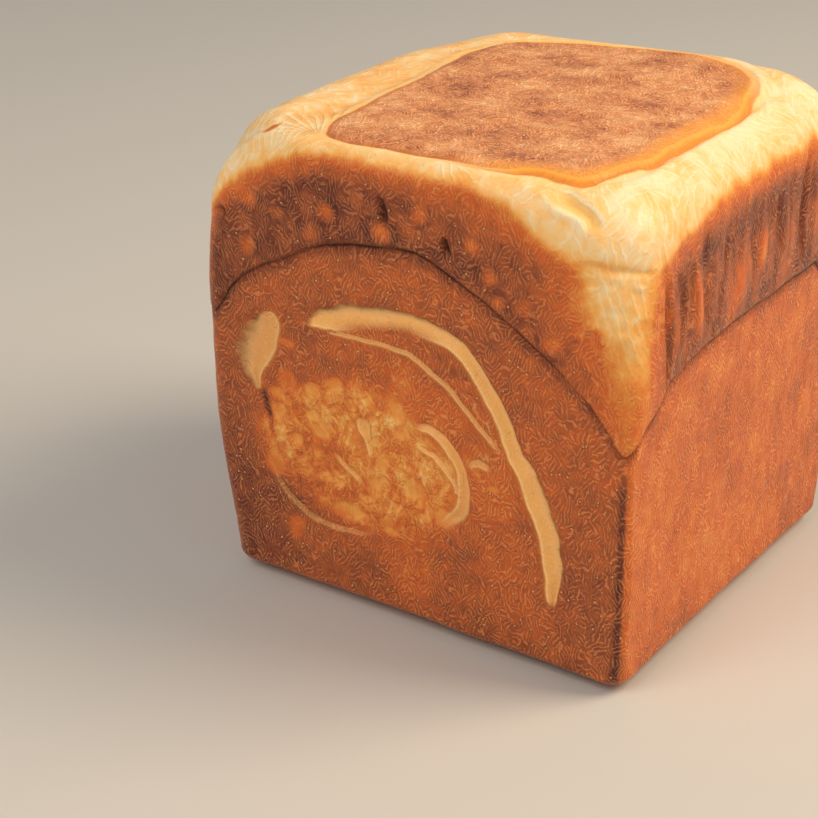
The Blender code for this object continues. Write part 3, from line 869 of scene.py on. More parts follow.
@dataclass(frozen=True)
class PressedTop:
    """The top: the tan patch that the lid pressed, its rim and the pale shoulders."""

    outline: Keys = (
        (2, -54), (21, -52.6), (29, -50.2), (36, -48.6), (41.5, -46), (46, -33), (47.5, -12), (48, 9),
        (47, 22), (43, 34), (34, 44), (12, 49), (-12, 46), (-29, 39), (-36, 28), (-34, 12), (-31.5, -7),
        (-32, -19), (-31, -36), (-31, -44), (-28, -53), (-21, -55), (-11, -55), (2, -54),
    )
    star: tuple[float, float] = (-27.5, -56.0)
    tear: tuple[float, float] = (-44.5, -52.5)
    fold_turn: float = 0.14
    rows_over: float = 96.0

    def gap(self, skin: Skin) -> Array:
        """Distance outside the patch, negative on it, with the small waver of a baked edge."""
        x, y, z = skin.points.T
        total = np.full(len(x), FAR)
        high = np.flatnonzero(z > self.rows_over)
        rows, apart, _ = Trail(self.outline, 70.0).near(skin.points[high][:, :2])
        total[high[rows]] = -apart
        waver = 0.8 * lumps(skin.points, 9.0, 51) + 0.35 * lumps(skin.points, 2.8, 52)
        return np.clip(total + waver, -FAR, FAR)

    def wide_rim(self, skin: Skin) -> Array:
        """Where the patch rolls down in a wide orange rim: on the right."""
        x, y, _ = skin.points.T
        return ramp(2, 30, x) * (1.0 - 0.6 * ramp(20, 46, y))

    def fan(self, skin: Skin) -> tuple[Array, Array]:
        """Folds of the left shoulder that run together at the patch's near left corner.

        They are finer than the mesh, so the finish draws them.

        Args:
            skin: The whole skin.

        Returns:
            How strongly they show, and the place across them, counted in folds.
        """
        x, y, z = skin.points.T
        reach = np.hypot(x - self.star[0], y - self.star[1])
        turn = np.arctan2(self.star[0] - x, y - self.star[1])
        shown = ramp(2.0, 6.0, reach) * (1.0 - ramp(11, 30, reach)) * ramp(102, 110, z)
        shown *= ramp(0.0, 0.25, turn) * (1.0 - ramp(1.35, 1.75, turn)) * ramp(0.0, 1.5, self.gap(skin))
        shown *= 0.75 + 0.25 * lumps(skin.points, 5.0, 67)
        return shown, turn / self.fold_turn + 0.9 * lumps(skin.points, 11.0, 66)

    def relief(self, skin: Skin) -> Array:
        """Waves of the patch, the crease at its rim and the quilted shoulders."""
        x, y, _ = skin.points.T
        gap = self.gap(skin)
        inside = 1.0 - ramp(-2.5, 0.0, gap)
        waves = 0.20 * lumps(skin.points, 6.0, 53) + 0.20 * (veins(skin.points, 4.2, 0.25, 54) - 0.5)
        total = inside * (waves + 0.12 * lumps(skin.points, 2.0, 55))
        wide = self.wide_rim(skin) * ramp(-57, -50, y)
        total += wide * (0.50 * swell(gap, 4.6, 1.7) - 0.60 * swell(gap, 2.0, 0.75))
        total += (1.0 - wide) * (0.22 * swell(gap, 1.8, 1.3) - 0.28 * swell(gap, 0.2, 0.6))
        shoulder = ramp(3.0, 7.0, gap)
        across = 0.16 * lumps(skin.points, (9.0, 1.7, 9.0), 57)
        quilt = 0.16 * lumps(skin.points, (4.0, 6.0, 8.0), 58)
        return total + shoulder * (across * ramp(30, 45, x) + quilt * ramp(-34, -44, x))

    def looks(self, skin: Skin) -> dict[str, Array]:
        """Bake level and smoothness of the top."""
        x, y, z = skin.points.T
        gap = self.gap(skin)
        pale = 0.12 - 0.05 * ramp(20, 50, x) - 0.03 * ramp(-24, -40, x) * ramp(-36, -50, y)
        pale = pale + 0.05 * lumps(skin.points, 9.0, 59) + 0.07 * lumps(skin.points, (3.0, 4.5, 6.0), 60)
        pale = pale + 0.05 * swell(gap, 2.0, 3.0) * ramp(-20, -32, x) * ramp(-48, -36, y)
        pale = pale + 0.03 * ramp(-28, -40, x) * ramp(-54, -46, y)
        spot = np.hypot((x - self.tear[0]) / 1.8, (y - self.tear[1]) / 2.4)
        pale = pale + 0.50 * (1.0 - ramp(0.7, 1.1, spot))
        return {"bake": pale, "satin": np.full(len(x), 0.45)}


@dataclass(frozen=True)
class CornerFold:
    """The crest over the coiled end and the trough where it tucks in at the corner."""

    crest: Keys = (
        (-46, -58, 120), (-36, -58, 124.5), (-20, -57, 127), (6, -56, 127.5), (28, -56, 127),
        (38, -56.5, 124.5), (47, -57.5, 121.5), (53, -58.5, 114),
    )
    trough: Keys = (
        (33, 49.3), (38, 49.1), (41.5, 48.8), (44.6, 48.2), (47.2, 47.1), (48.8, 45.6), (50.5, 43.6),
    )
    crease: Keys = (
        (45, -60, 111.5), (50, -59.5, 112.3), (54, -58.5, 111.8), (58, -55, 111), (62, -49, 109.5),
    )
    reach: float = 6.0

    def tuck(self, skin: Skin) -> tuple[Array, Array]:
        """Distance behind the middle of the trough, and how strongly the trough shows.

        The keys of the trough are its x and its place up and over the crest,
        measured across the rounded edge.
        """
        x, y, z = skin.points.T
        over = np.column_stack((x, (y + z) / math.sqrt(2.0)))
        tuck_mm = np.full(len(x), FAR)
        shown = np.zeros(len(x))
        near = np.flatnonzero((y < -30.0) & (z > 96.0))
        rows, apart, along = Trail(self.trough, 7.0).near(over[near])
        tuck_mm[near[rows]] = apart
        shown[near[rows]] = ramp(0.06, 0.3, along) * (1.0 - ramp(0.8, 1.0, along))
        tuck_mm += 0.35 * lumps(skin.points, 2.2, 64) + 0.5 * lumps(skin.points, 5.0, 65)
        return tuck_mm, shown * (1.0 - ramp(4.0, 6.0, np.abs(tuck_mm)))

    def relief(self, skin: Skin) -> Array:
        """Crest, trough, its two lips, the level crease and the wrinkled zone under it."""
        total = np.zeros(len(skin.points))
        lines = ((self.crest, 2.0, 0.6), (self.crease, 0.9, -0.65))
        for rows, apart, room, half_width, height in lines_near(lines, self.reach, skin.points):
            total[rows] += room ** 0.6 * height * swell(apart, 0.0, half_width)
        apart, shown = self.tuck(skin)
        lips = 0.40 * swell(apart, -2.7, 1.0) + 0.35 * swell(apart, 2.5, 0.9)
        total += shown * (lips - 0.95 * swell(apart, 0.0, 1.9))
        return total + self.zone(skin) * (0.20 * lumps(skin.points, (2.4, 2.4, 2.0), 61)
                                          + 0.22 * (veins(skin.points, 3.4, 0.30, 63) - 0.4))

    def zone(self, skin: Skin) -> Array:
        """The wrinkled skin under the level crease."""
        x, y, z = skin.points.T
        return ramp(43, 50, x) * ramp(-38, -51, y) * ramp(84, 98, z) * (1.0 - ramp(109, 112, z))

    def golden(self, skin: Skin) -> Array:
        """How golden each point is: the floor of the crease and the lines of the wrinkled skin."""
        total = np.zeros(len(skin.points))
        rows, apart, along = Trail(self.crease, self.reach).near(skin.points)
        total[rows] = bow(along) ** 0.5 * swell(apart, 0.0, 1.8)
        lines = 1.0 - ramp(0.0, 0.5, veins(skin.points, 3.4, 0.22, 63))
        return np.maximum(total, 0.6 * self.zone(skin) * lines)


@dataclass(frozen=True)
class Section:
    """Colours across a line of the skin.

    Attributes:
        field: Attribute with the place across the line.
        strength: Attribute that says how strongly the line shows.
        stops: Place across the line, colour and how much it covers, in order.
    """

    field: str
    strength: str
    stops: tuple[tuple[float, str, float], ...]


@dataclass(frozen=True)
class BakedCrust:
    """Crust of a soft milk and wheat dough, browned against a greased steel tin.

    Baking leaves a thin, tight skin that shrinks as it cools. It gives the eye
    hair-fine wrinkles, small blisters that catch the light, a soft buttery
    gloss on the brown and a matt cream where the dough never touched the tin.
    """

    browning: tuple[tuple[float, str], ...] = (
        (0.02, "#fee9c0"), (0.14, "#fdce88"), (0.26, "#f6b05a"), (0.39, "#e68c40"), (0.52, "#d3682f"),
        (0.66, "#a45631"), (0.80, "#753929"), (0.97, "#431d17"),
    )
    pressed_skin: tuple[tuple[float, str], ...] = (
        (0.0, "#ffd9aa"), (0.22, "#f7b47c"), (0.45, "#e39a66"), (0.65, "#c97f58"), (0.84, "#a06048"),
        (1.0, "#6e3a33"),
    )
    # Colours across a fold of the coil. The orange under the lip and the pale floor are the skin's own
    # colour; the brightest stop on the lip is a painted highlight, and the darker olive stops on the outer
    # wall are painted shade.
    folds: Section = Section("fold_u", "fold", (
        (-2.4, "#c66c2c", 0.0), (-1.1, "#d57f38", 0.45), (-0.5, "#e89c4c", 0.85), (-0.15, "#ffd69a", 1.0),
        (0.05, "#ffc272", 0.95), (0.35, "#ffc172", 0.88), (0.60, "#fec47a", 0.90), (0.78, "#ebbb7a", 0.95),
        (0.92, "#c99e64", 0.88), (1.02, "#ab7e4f", 0.55), (1.12, "#8a5a38", 0.22), (1.22, "#8a5a38", 0.0),
    ))
    # Painted shade under the fold line's overhanging lip, darkest in its crease, and a painted highlight on
    # the lip's lower edge.
    fold_line: Section = Section("seam_mm", "seam", (
        (-3.0, "#6e2f18", 0.0), (-1.0, "#5c2412", 0.35), (-0.48, "#2c100a", 0.90), (-0.10, "#1c0906", 0.98),
        (0.12, "#5a2814", 0.50), (0.45, "#b5662f", 0.30), (1.3, "#b5662f", 0.0),
    ))
    trough: Section = Section("tuck_mm", "tuck", (
        (-4.4, "#ffecc0", 0.0), (-3.0, "#fff3cf", 0.80), (-2.2, "#ffe9b8", 0.90), (-1.4, "#fad088", 0.90),
        (0.0, "#f7c068", 0.92), (1.5, "#fad088", 0.90), (2.0, "#fff3cf", 0.95), (2.5, "#ffe9b8", 0.75),
        (3.0, "#f5c67c", 0.50), (4.2, "#f5c67c", 0.0),
    ))
    thin_edge: Section = Section("patch_mm", "thin_rim", (
        (-2.2, "#d4824c", 0.0), (-0.6, "#cf793f", 0.65), (0.0, "#b8662f", 0.70), (0.45, "#f2b964", 0.85),
        (1.5, "#f8d08c", 0.45), (3.2, "#f8d08c", 0.0),
    ))
    wide_edge: Section = Section("patch_mm", "rim", (
        (-5.5, "#f4a661", 0.0), (-2.6, "#f9a652", 0.65), (0.6, "#fdab44", 0.95), (1.6, "#e68d30", 0.95),
        (2.1, "#cf7d30", 0.90), (2.7, "#fbd690", 0.85), (4.6, "#fde4b0", 0.0),
    ))
    # Colour of the painted shade in the slots and folds.
    crack: str = "#2c100c"
    # Painted highlights: lighter colours on the blister tops and on the crests of the hair-fine wrinkles, and
    # how much of the crests they cover.
    blister_top: str = "#eeab6c"
    wrinkle_crest: str = "#e0a068"
    crest_cover: float = 0.32
    gloss: tuple[tuple[str, float | Point], ...] = (
        ("IOR", 1.42), ("Specular IOR Level", 0.30), ("Subsurface Weight", 0.10),
        ("Subsurface Radius", (1.0, 0.42, 0.16)), ("Subsurface Scale", 1.6 * MM), ("Coat Weight", 0.05),
        ("Coat Roughness", 0.25),
    )
    upright_stretch: Point = (1.0, 1.0, 0.65)
    wrinkle_gap_mm: float = 0.74
    wrinkle_patch_mm: float = 2.1
    crease_gap_mm: float = 1.9
    crease_patch_mm: float = 6.0
    bend_mm: float = 1.3
    grain_mm: float = 0.6
    mottle_mm: float = 3.2
    broad_mm: float = 11.0
    wave_mm: float = 3.4
    blister_mm: float = 2.3
    relief_mm: float = 0.30

    def patterns(self, tree: bpy.types.NodeTree) -> dict[str, bpy.types.NodeSocket]:
        """Read the skin's attributes and lay the fine patterns over it.

        Args:
            tree: Node tree of the crust.

        Returns:
            Sockets by name: the attributes, centred noises and lines from 0 to 1.
        """
        place = add_node(tree, "ShaderNodeTexCoord").outputs["Object"]
        found = {}
        for field in fields(Coat):
            read = add_node(tree, "ShaderNodeAttribute", {"attribute_name": field.name})
            found[field.name] = read.outputs["Fac"]

        upright = add_node(tree, "ShaderNodeMapping", {}, {
            "Vector": place, "Scale": self.upright_stretch}).outputs[0]
        bend = add_node(tree, "ShaderNodeTexNoise", {}, {
            "Vector": place, "Scale": 1.0 / (self.wrinkle_patch_mm * MM), "Detail": 1.0})
        bent = add_node(tree, "ShaderNodeVectorMath", {"operation": "MULTIPLY_ADD"}, {
            0: bend.outputs["Color"], 1: (self.bend_mm * MM,) * 3, 2: upright}).outputs[0]
        for name, gap_mm, patch_mm in (
            ("wrinkles", self.wrinkle_gap_mm, self.wrinkle_patch_mm),
            ("creases", self.crease_gap_mm, self.crease_patch_mm),
        ):
            patch = add_node(tree, "ShaderNodeTexVoronoi", {}, {
                "Vector": bent, "Scale": 1.0 / (patch_mm * MM)})
            found[name + "_cell"] = patch.outputs["Distance"]
            centred = add_node(tree, "ShaderNodeVectorMath", {"operation": "SUBTRACT"}, {
                0: patch.outputs["Color"], 1: (0.5, 0.5, 0.5)}).outputs[0]
            heading = add_node(tree, "ShaderNodeVectorMath", {"operation": "NORMALIZE"}, {
                0: centred}).outputs[0]
            run = add_node(tree, "ShaderNodeVectorMath", {"operation": "DOT_PRODUCT"}, {
                0: bent, 1: heading}).outputs["Value"]
            turns = add_node(tree, "ShaderNodeMath", {"operation": "MULTIPLY"}, {
                0: run, 1: 2.0 * math.pi / (gap_mm * MM)}).outputs[0]
            found[name] = add_node(tree, "ShaderNodeMath", {"operation": "SINE"}, {0: turns}).outputs[0]

        for name, size_mm, detail, twist in (
            ("wave_field", self.wave_mm, 1.5, 0.9),
            ("grain", self.grain_mm, 2.0, 0.0),
            ("mottle", self.mottle_mm, 3.0, 0.0),
            ("broad", self.broad_mm, 2.0, 0.0),
        ):
            noise = add_node(tree, "ShaderNodeTexNoise", {}, {
                "Vector": place, "Scale": 1.0 / (size_mm * MM), "Detail": detail, "Distortion": twist})
            found[name] = add_node(tree, "ShaderNodeMath", {"operation": "SUBTRACT"}, {
                0: noise.outputs["Fac"], 1: 0.5}).outputs[0]
        found["wave_gap"] = add_node(tree, "ShaderNodeMath", {"operation": "ABSOLUTE"}, {
            0: found["wave_field"]}).outputs[0]
        for name, waver in (("fan_turn", 0.35), ("fold_u", 0.45), ("seam_mm", 0.45)):
            found[name] = add_node(tree, "ShaderNodeMath", {"operation": "MULTIPLY_ADD"}, {
                0: found["mottle"], 1: waver, 2: found[name]}).outputs[0]
        turns = add_node(tree, "ShaderNodeMath", {"operation": "MULTIPLY"}, {
            0: found["fan_turn"], 1: 2.0 * math.pi}).outputs[0]
        found["fan_wave"] = add_node(tree, "ShaderNodeMath", {"operation": "SINE"}, {0: turns}).outputs[0]
        cells = add_node(tree, "ShaderNodeTexVoronoi", {}, {
            "Vector": place, "Scale": 1.0 / (self.blister_mm * MM)})
        found["cell"] = cells.outputs["Distance"]
        found["chance"] = add_node(tree, "ShaderNodeSeparateColor", {}, {
            0: cells.outputs["Color"]}).outputs[0]

        for name, source, start, end in (
            ("worm", "wrinkles", 0.0, 0.95),
            ("band", "creases", 0.1, 0.95),
            ("wave", "wave_gap", 0.035, 0.0),
            # bank: a darker band round the light wave lines, painted shade beside those ridges.
            ("bank_shade", "wave_gap", 0.12, 0.03),
            ("spot", "cell", 0.19, 0.09),
            ("ring", "cell", 0.30, 0.17),
            ("chosen", "chance", 0.22, 0.40),
            ("lull", "wave_field", 0.06, -0.14),
            ("ridge", "fan_wave", -0.6, 0.5),
            ("oval", "creases_cell", 0.58, 0.16),
            ("pressed", "patch_mm", 0.35, -0.35),
            ("brown", "bake", 0.16, 0.46),
        ):
            found[name] = add_node(tree, "ShaderNodeMapRange", {"interpolation_type": "SMOOTHSTEP"}, {
                "Value": found[source], "From Min": start, "From Max": end}).outputs[0]
        for name, source, most in (
            ("rough", "satin", 0.88),
            ("thin_rim", "rim", 1.0),
            ("strong", "lull", 0.65),
            ("cream", "brown", 1.0),
        ):
            found[name] = add_node(tree, "ShaderNodeMath", {"operation": "MULTIPLY_ADD"}, {
                0: found[source], 1: -most, 2: 1.0}).outputs[0]
        for name, one, other in (
            ("lively", "rough", "brown"),
            ("worm_lively", "worm", "lively"),
            ("worm_on", "worm_lively", "strong"),
            ("band_cream", "band", "cream"),
            ("grain_on", "grain", "rough"),
            ("blister", "spot", "chosen"),
            ("blister_on", "blister", "lively"),
            ("halo", "ring", "chosen"),
            ("halo_on", "halo", "lively"),
            ("blister_pressed", "blister", "pressed"),
            ("wave_heart", "wave", "heart"),
            ("bank_heart", "bank_shade", "heart"),
            ("band_heart", "band", "heart"),
            ("oval_heart", "oval", "heart"),
            ("fan_cream", "fan", "cream"),
            ("fan_on", "ridge", "fan_cream"),
            ("wave_pressed", "wave", "pressed"),
            ("band_pressed", "band", "pressed"),
            ("worm_pressed", "worm", "pressed"),
        ):
            found[name] = add_node(tree, "ShaderNodeMath", {"operation": "MULTIPLY"}, {
                0: found[one], 1: found[other]}).outputs[0]
        return found

    def material(self) -> bpy.types.Material:
        """Build the crust's material.

        Returns:
            A material that reads the skin's attributes and Object coordinates.
        """
        crust = bpy.data.materials.new("baked_wheat_crust")
        crust.use_nodes = True
        tree = crust.node_tree
        shader = tree.nodes["Principled BSDF"]
        found = self.patterns(tree)

        # In these sums the lighter worm and blister terms are painted highlights on the wrinkle crests and
        # blister tops.
        totals = {}
        for name, start, terms in (
            ("level", found["bake"], (
                ("mottle", 0.30), ("broad", 0.16), ("grain_on", 0.22), ("worm_on", -0.09), ("brown", 0.03),
                ("halo_on", 0.07), ("wave_heart", -0.15), ("bank_heart", 0.12), ("band_heart", -0.06),
                ("oval_heart", -0.15), ("heart", 0.03), ("band_cream", -0.05), ("fan_cream", 0.09),
                ("fan_on", -0.13))),
            ("lid", 0.58, (
                ("mottle", 0.75), ("broad", 1.0), ("grain", 0.4), ("wave", -0.22), ("bank_shade", 0.10),
                ("band", -0.10), ("worm", -0.30), ("blister", -0.45))),
            ("tone", 1.0, (("mottle", 0.18), ("worm_on", 0.08), ("grain", 0.14))),
            ("height", 0.0, (
                ("worm_on", 0.35), ("band_cream", 0.30), ("grain_on", 0.30), ("blister_on", 0.9),
                ("wave_heart", 0.25), ("band_heart", 0.2), ("oval_heart", 0.9), ("fan_on", 1.0),
                ("wave_pressed", 0.3), ("band_pressed", 0.1), ("worm_pressed", 0.5),
                ("blister_pressed", 0.6))),
            ("gloss", 0.38, (("grain", 0.30), ("pressed", 0.08), ("brown", -0.02))),
        ):
            total = start
            for source, weight in terms:
                total = add_node(tree, "ShaderNodeMath", {"operation": "MULTIPLY_ADD"}, {
                    0: found[source], 1: weight, 2: total}).outputs[0]
            totals[name] = total

        colour, lid_colour = (
            add_node(tree, "ShaderNodeValToRGB", {"stops": stops}, {0: totals[name]}).outputs[0]
            for name, stops in (("level", self.browning), ("lid", self.pressed_skin))
        )
        # Painted highlights on the wrinkle crests and on the blister tops.
        lines = add_node(tree, "ShaderNodeMath", {"operation": "MULTIPLY"}, {
            0: found["worm_on"], 1: self.crest_cover}).outputs[0]
        for share, paint in (
            (lines, to_linear(self.wrinkle_crest)),
            (found["blister_on"], to_linear(self.blister_top)),
            (found["pressed"], lid_colour),
        ):
            colour = add_node(tree, "ShaderNodeMix", {"data_type": "RGBA"}, {
                0: share, 6: colour, 7: paint}).outputs[2]
        for section in (self.thin_edge, self.wide_edge, self.trough, self.folds, self.fold_line):
            low, high = section.stops[0][0], section.stops[-1][0]
            across = add_node(tree, "ShaderNodeMapRange", {}, {
                "Value": found[section.field], "From Min": low, "From Max": high}).outputs[0]
            stops = tuple(((at - low) / (high - low), code, cover) for at, code, cover in section.stops)
            band = add_node(tree, "ShaderNodeValToRGB", {"stops": stops}, {0: across})
            share = add_node(tree, "ShaderNodeMath", {"operation": "MULTIPLY"}, {
                0: band.outputs["Alpha"], 1: found[section.strength]}).outputs[0]
            colour = add_node(tree, "ShaderNodeMix", {"data_type": "RGBA"}, {
                0: share, 6: colour, 7: band.outputs["Color"]}).outputs[2]
        # Painted shade in the slots of the band and the folds of the flanks.
        colour = add_node(tree, "ShaderNodeMix", {"data_type": "RGBA"}, {
            0: found["crack"], 6: colour, 7: to_linear(self.crack)}).outputs[2]
        colour = add_node(tree, "ShaderNodeVectorMath", {"operation": "SCALE"}, {
            0: colour, "Scale": totals["tone"]}).outputs[0]
        tree.links.new(colour, shader.inputs["Base Color"])

        bump = add_node(tree, "ShaderNodeBump", {}, {
            "Height": totals["height"], "Distance": self.relief_mm * MM, "Strength": 1.0}).outputs[0]
        tree.links.new(bump, shader.inputs["Normal"])
        tree.links.new(totals["gloss"], shader.inputs["Roughness"])
        for name, value in self.gloss:
            shader.inputs[name].default_value = value
        return crust


def to_linear(code: str) -> tuple[float, float, float, float]:
    """Turn an sRGB hex colour into linear red, green, blue and alpha."""
    parts = [int(code[index:index + 2], 16) / 255 for index in (1, 3, 5)]
    return (*(c / 12.92 if c <= 0.04045 else ((c + 0.055) / 1.055) ** 2.4 for c in parts), 1.0)


def add_node(
    tree: bpy.types.NodeTree, kind: str, settings: dict | None = None, inputs: dict | None = None
) -> bpy.types.Node:
    """Add a node with its settings, constants and links.

    Args:
        tree: Node tree that gets the node.
        kind: Blender's name of the node type.
        settings: Properties to set, and the stops of a colour ramp as place,
            colour and, where it isn't 1, alpha.
        inputs: Sockets to link or constants to set, by name or number.

    Returns:
        The new node.
    """
    node = tree.nodes.new(kind)
    for name, value in (settings or {}).items():
        if name == "stops":
            stops = node.color_ramp.elements
            while len(stops) < len(value):
                stops.new(1.0)
            for stop, (position, code, *cover) in zip(stops, value):
                stop.position = position
                stop.color = (*to_linear(code)[:3], *(cover or (1.0,)))
        else:
            setattr(node, name, value)
    for key, value in (inputs or {}).items():
        if isinstance(value, bpy.types.NodeSocket):
            tree.links.new(value, node.inputs[key])
        else:
            node.inputs[key].default_value = value
    return node


@dataclass
class Loaf:
    """The crusted loaf: its form, what is pressed into it and its finish.

    A side shapes, colours or draws its folds on the points that it has more
    than a least share in.
    """

    form: LoafForm
    fold: FoldLine
    coil: CoilEnd
    band: UpperBand
    flank: Flank
    top: PressedTop
    corner: CornerFold
    finish: BakedCrust
    cuts: tuple[int, int] = (17, 16)
    most_triangles: int = 192000
    relief_share: float = 0.01
    looks_share: float = 0.004
    folds_share: float = 0.2

    def block(self) -> bpy.types.Object:
        """Add a cube and subdivide it finely in two goes."""
        bpy.ops.object.select_all(action="DESELECT")
        bpy.ops.mesh.primitive_cube_add(size=2.0, location=(0, 0, 0))
        block = bpy.context.object
        block.name = PIECE
        block.data.name = PIECE
        bpy.ops.object.mode_set(mode="EDIT")
        bpy.ops.mesh.select_all(action="SELECT")
        for cuts in self.cuts:
            bpy.ops.mesh.subdivide(number_cuts=cuts)
        bpy.ops.object.mode_set(mode="OBJECT")
        return block

    def side_relief(self, side: Side, part: Skin, above: Array) -> Array:
        """Relief that one side gives its part of the skin.

        Args:
            side: The side.
            part: The points that it has a share in.
            above: Their height over the fold line.

        Returns:
            The height over the plain skin, before it is weighted by the share.
        """
        if side in ENDS:
            where = part.flat(side)
            lower = ramp(0.0, -4.0, above) * self.coil.relief(where, part)
            return lower + ramp(0.0, 4.0, above) * self.band.relief(where, part)
        if side in FLANKS:
            return self.flank.relief(part.flat(side), part, above)
        if side is Side.TOP:
            return self.top.relief(part)
        return np.zeros(len(above))

    def relief(self, skin: Skin) -> Array:
        """Height of all relief over the plain skin."""
        above = self.fold.above(skin)
        total = self.fold.relief(skin, above) + self.corner.relief(skin)
        total += 0.22 * lumps(skin.points, 17.0, 71) + 0.09 * lumps(skin.points, 6.5, 72)
        total += 0.05 * lumps(skin.points, 2.4, 73)
        for side in Side:
            share = skin.share(side)
            rows = np.flatnonzero(share > self.relief_share)
            total[rows] += share[rows] * self.side_relief(side, skin.part(rows), above[rows])
        return total

    def side_looks(self, side: Side, part: Skin, above: Array) -> dict[str, Array]:
        """Looks that one side gives its part of the skin, by name.

        Args:
            side: The side.
            part: The points that it has a share in.
            above: Their height over the fold line.

        Returns:
            Values for the coat, before they are weighted by the share.
        """
        if side in ENDS:
            where = part.flat(side)
            over = ramp(-0.3, 0.3, above)
            low, high = self.coil.looks(where, part), self.band.looks(where, part)
            looks = {name: blend(low[name], high[name], over) for name in ("bake", "satin")}
            looks.update(crack=high["crack"] * over, heart=low["heart"] * (1.0 - over))
            looks.update(fold=low["fold"] * (1.0 - over), fold_u=low["fold_u"])
            return looks
        if side in FLANKS:
            return self.flank.looks(part.flat(side), part, above)
        if side is Side.TOP:
            return self.top.looks(part)
        under = 0.56 + 0.08 * lumps(part.points, 9.0, 81)
        return {"bake": under, "satin": np.full(len(under), 0.1)}

    def coat(self, skin: Skin) -> Coat:
        """What the finish reads at each point, blended between the sides."""
        above = self.fold.above(skin)
        count = len(skin.points)
        total = {name: np.zeros(count) for name in ("bake", "satin", "crack", "heart", "fold")}
        fold_u = np.full(count, -FAR)
        weight = np.full(count, 1e-6)
        for side in Side:
            share = skin.share(side)
            rows = np.flatnonzero(share > self.looks_share)
            own = share[rows]
            looks = self.side_looks(side, skin.part(rows), above[rows])
            if "fold_u" in looks:
                fold_u[rows] = np.where(own > self.folds_share, looks.pop("fold_u"), fold_u[rows])
            for name, values in looks.items():
                total[name][rows] += own * values
            weight[rows] += own

        ends = skin.share(Side.FRONT) + skin.share(Side.BACK)
        flanks = skin.share(Side.RIGHT) + skin.share(Side.LEFT)
        x, y, _ = skin.points.T
        turned = flanks / (ends + flanks + 1e-6) * ramp(0.3, 0.7, ends + flanks)
        # Painted shade added to the bake level: just under the fold line's overhang, and on the front half of
        # the rounded near right upright below it.
        shade = 0.10 * swell(above, -1.4, 1.6) * (ends + flanks)
        edge = ramp(0.03, 0.26, turned) * (1.0 - ramp(0.42, 0.60, turned))
        shade += 0.22 * edge * ramp(-3.0, -8.0, above) * ramp(0, 30, x) * ramp(0, -30, y)
        bake = blend(total["bake"] / weight + shade, 0.26, 0.7 * self.corner.golden(skin))
        tuck_mm, tuck = self.corner.tuck(skin)
        fan, fan_turn = self.top.fan(skin)
        patch_mm = self.top.gap(skin)
        return Coat(
            bake=np.clip(bake, 0.0, 1.0),
            satin=np.clip(total["satin"] / weight, 0.0, 1.0),
            crack=np.clip(total["crack"] / weight, 0.0, 1.0),
            fan=fan,
            fan_turn=fan_turn,
            heart=total["heart"] / weight,
            seam=np.clip(self.fold.strength(skin), 0.0, 1.0),
            seam_mm=np.clip(above, -FAR, FAR),
            patch_mm=patch_mm,
            rim=self.top.wide_rim(skin),
            fold=total["fold"] / weight,
            fold_u=fold_u,
            tuck=tuck * ramp(0.8, 2.4, patch_mm),
            tuck_mm=tuck_mm,
        )

    def build(self) -> bpy.types.Object:
        """Model, thin and dress the loaf.

        Returns:
            The finished piece, in place and riding on the loaf's body.
        """
        loaf = self.block()
        count = len(loaf.data.vertices)
        cube = np.empty(count * 3)
        loaf.data.vertices.foreach_get("co", cube)
        points = self.form.march(cube.reshape(count, 3))
        skin = self.form.skin(points)
        grounded = points[:, 2] < self.form.grounded
        points = points + skin.normals * self.relief(skin)[:, None]
        points[:, 2] = np.where(grounded, 0.0, np.maximum(points[:, 2], self.form.flat_step))
        low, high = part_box(NODE)
        middle = np.array((low + high) / 2 / MM)[:2]
        shift = middle - (points[:, :2].max(axis=0) + points[:, :2].min(axis=0)) / 2
        points[:, :2] += shift
        loaf.data.vertices.foreach_set("co", (points * MM).ravel())
        loaf.data.update()
        log.info("%s: %d points marched onto the skin", PIECE, count)

        thin = loaf.modifiers.new("thin", "DECIMATE")
        thin.ratio = self.most_triangles / (2 * len(loaf.data.polygons))
        bpy.ops.object.modifier_apply(modifier=thin.name)
        bpy.ops.object.shade_smooth()
        self.dress(loaf, shift)
        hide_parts(NODE)
        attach(loaf, BODY)
        log.info("%s: %d triangles", PIECE, len(loaf.data.polygons))
        return loaf

    def dress(self, loaf: bpy.types.Object, shift: Array) -> None:
        """Write the coat onto the mesh and give it the crust's material.

        Args:
            loaf: The thinned loaf.
            shift: How far its points were moved in x and y, in millimetres.
        """
        count = len(loaf.data.vertices)
        points = np.empty(count * 3)
        loaf.data.vertices.foreach_get("co", points)
        points = points.reshape(count, 3) / MM
        points[:, :2] -= shift
        coat = self.coat(self.form.skin(points))
        for name, values in vars(coat).items():
            layer = loaf.data.attributes.new(name, "FLOAT", "POINT")
            layer.data.foreach_set("value", values.astype(np.float32))
        loaf.data.materials.clear()
        loaf.data.materials.append(self.finish.material())


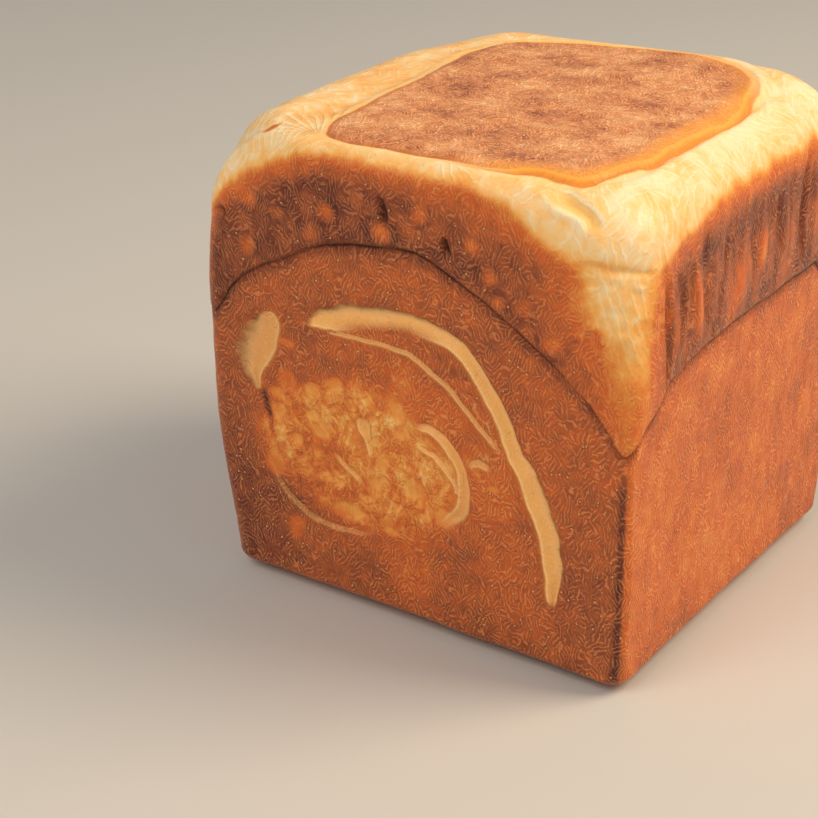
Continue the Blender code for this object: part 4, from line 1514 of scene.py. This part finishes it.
@dataclass(frozen=True)
class Studio:
    """Pale floor, soft warm key from the upper right, weak fill and the camera."""

    floor_size: float = 9.0
    floor_colour: str = "#cbcbca"
    floor_roughness: float = 0.8
    sky_colour: str = "#f4f1ec"
    sky_strength: float = 0.33
    aim: Point = (0.0, 0.0, 0.06)
    lights: tuple[tuple[str, Point, float, float, str], ...] = (
        ("key", (0.62, 0.34, 0.78), 0.55, 9.4, "#ffe5c2"),
        ("fill", (-0.18, -0.95, 0.95), 0.80, 8.2, "#fff1e0"),
    )
    lens: float = 100.32
    sensor: float = 36.0
    azimuth: float = 33.1615
    elevation: float = 25.1635
    camera_place: Point = (278.20, -484.32, 302.12)

    def floor(self) -> bpy.types.Object:
        """Lay a wide plain floor of matt painted board."""
        bpy.ops.object.select_all(action="DESELECT")
        bpy.ops.mesh.primitive_plane_add(size=self.floor_size, location=(0, 0, 0))
        floor = bpy.context.object
        floor.name = "studio_floor"
        paint = bpy.data.materials.new("matt_painted_board")
        paint.use_nodes = True
        shader = paint.node_tree.nodes["Principled BSDF"]
        shader.inputs["Base Color"].default_value = to_linear(self.floor_colour)
        shader.inputs["Roughness"].default_value = self.floor_roughness
        floor.data.materials.append(paint)
        return floor

    def light(self, name: str, place: Point, size: float, watts: float, colour: str) -> bpy.types.Object:
        """Hang a square soft light that faces the loaf.

        Args:
            name: Name of the light.
            place: Where it hangs, in metres.
            size: Its side in metres.
            watts: Its power.
            colour: Its colour as sRGB hex.

        Returns:
            The light.
        """
        data = bpy.data.lights.new(name, "AREA")
        data.shape = "SQUARE"
        data.size = size
        data.energy = watts
        data.color = to_linear(colour)[:3]
        lamp = bpy.data.objects.new(name, data)
        bpy.context.scene.collection.objects.link(lamp)
        lamp.location = place
        beam = Vector(self.aim) - Vector(place)
        lamp.rotation_euler = beam.to_track_quat("-Z", "Y").to_euler()
        return lamp

    def camera(self) -> bpy.types.Object:
        """Set up the camera at the height and angle that the loaf is seen from."""
        a, e = math.radians(self.azimuth), math.radians(self.elevation)
        back = Vector((math.sin(a) * math.cos(e), -math.cos(a) * math.cos(e), math.sin(e)))
        right = Vector((math.cos(a), math.sin(a), 0.0))
        up = back.cross(right)
        data = bpy.data.cameras.new("camera")
        data.lens = self.lens
        data.sensor_width = self.sensor
        camera = bpy.data.objects.new("camera", data)
        bpy.context.scene.collection.objects.link(camera)
        turn = Matrix((right, up, back)).transposed().to_4x4()
        camera.matrix_world = Matrix.Translation(Vector(self.camera_place) * MM) @ turn
        bpy.context.scene.camera = camera
        return camera

    def world(self) -> None:
        """Even pale surroundings."""
        scene = bpy.context.scene
        scene.world = bpy.data.worlds.new("studio")
        scene.world.use_nodes = True
        sky = scene.world.node_tree.nodes["Background"]
        sky.inputs["Color"].default_value = to_linear(self.sky_colour)
        sky.inputs["Strength"].default_value = self.sky_strength
        scene.view_settings.view_transform = "Standard"

    def build(self) -> None:
        """Build the floor, the lights and the camera."""
        self.floor()
        self.world()
        for settings in self.lights:
            self.light(*settings)
        self.camera()


def main() -> None:
    """Build the studio and the loaf."""
    logging.basicConfig(level=logging.INFO, format="%(name)s: %(message)s")
    bpy.ops.object.select_all(action="DESELECT")
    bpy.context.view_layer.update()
    Studio().build()
    log.info("studio: floor, lights and camera")
    form = LoafForm()
    loaf = Loaf(form, FoldLine(), CoilEnd(), UpperBand(), Flank(), PressedTop(), CornerFold(), BakedCrust())
    loaf.build()


if __name__ == "__main__":
    main()
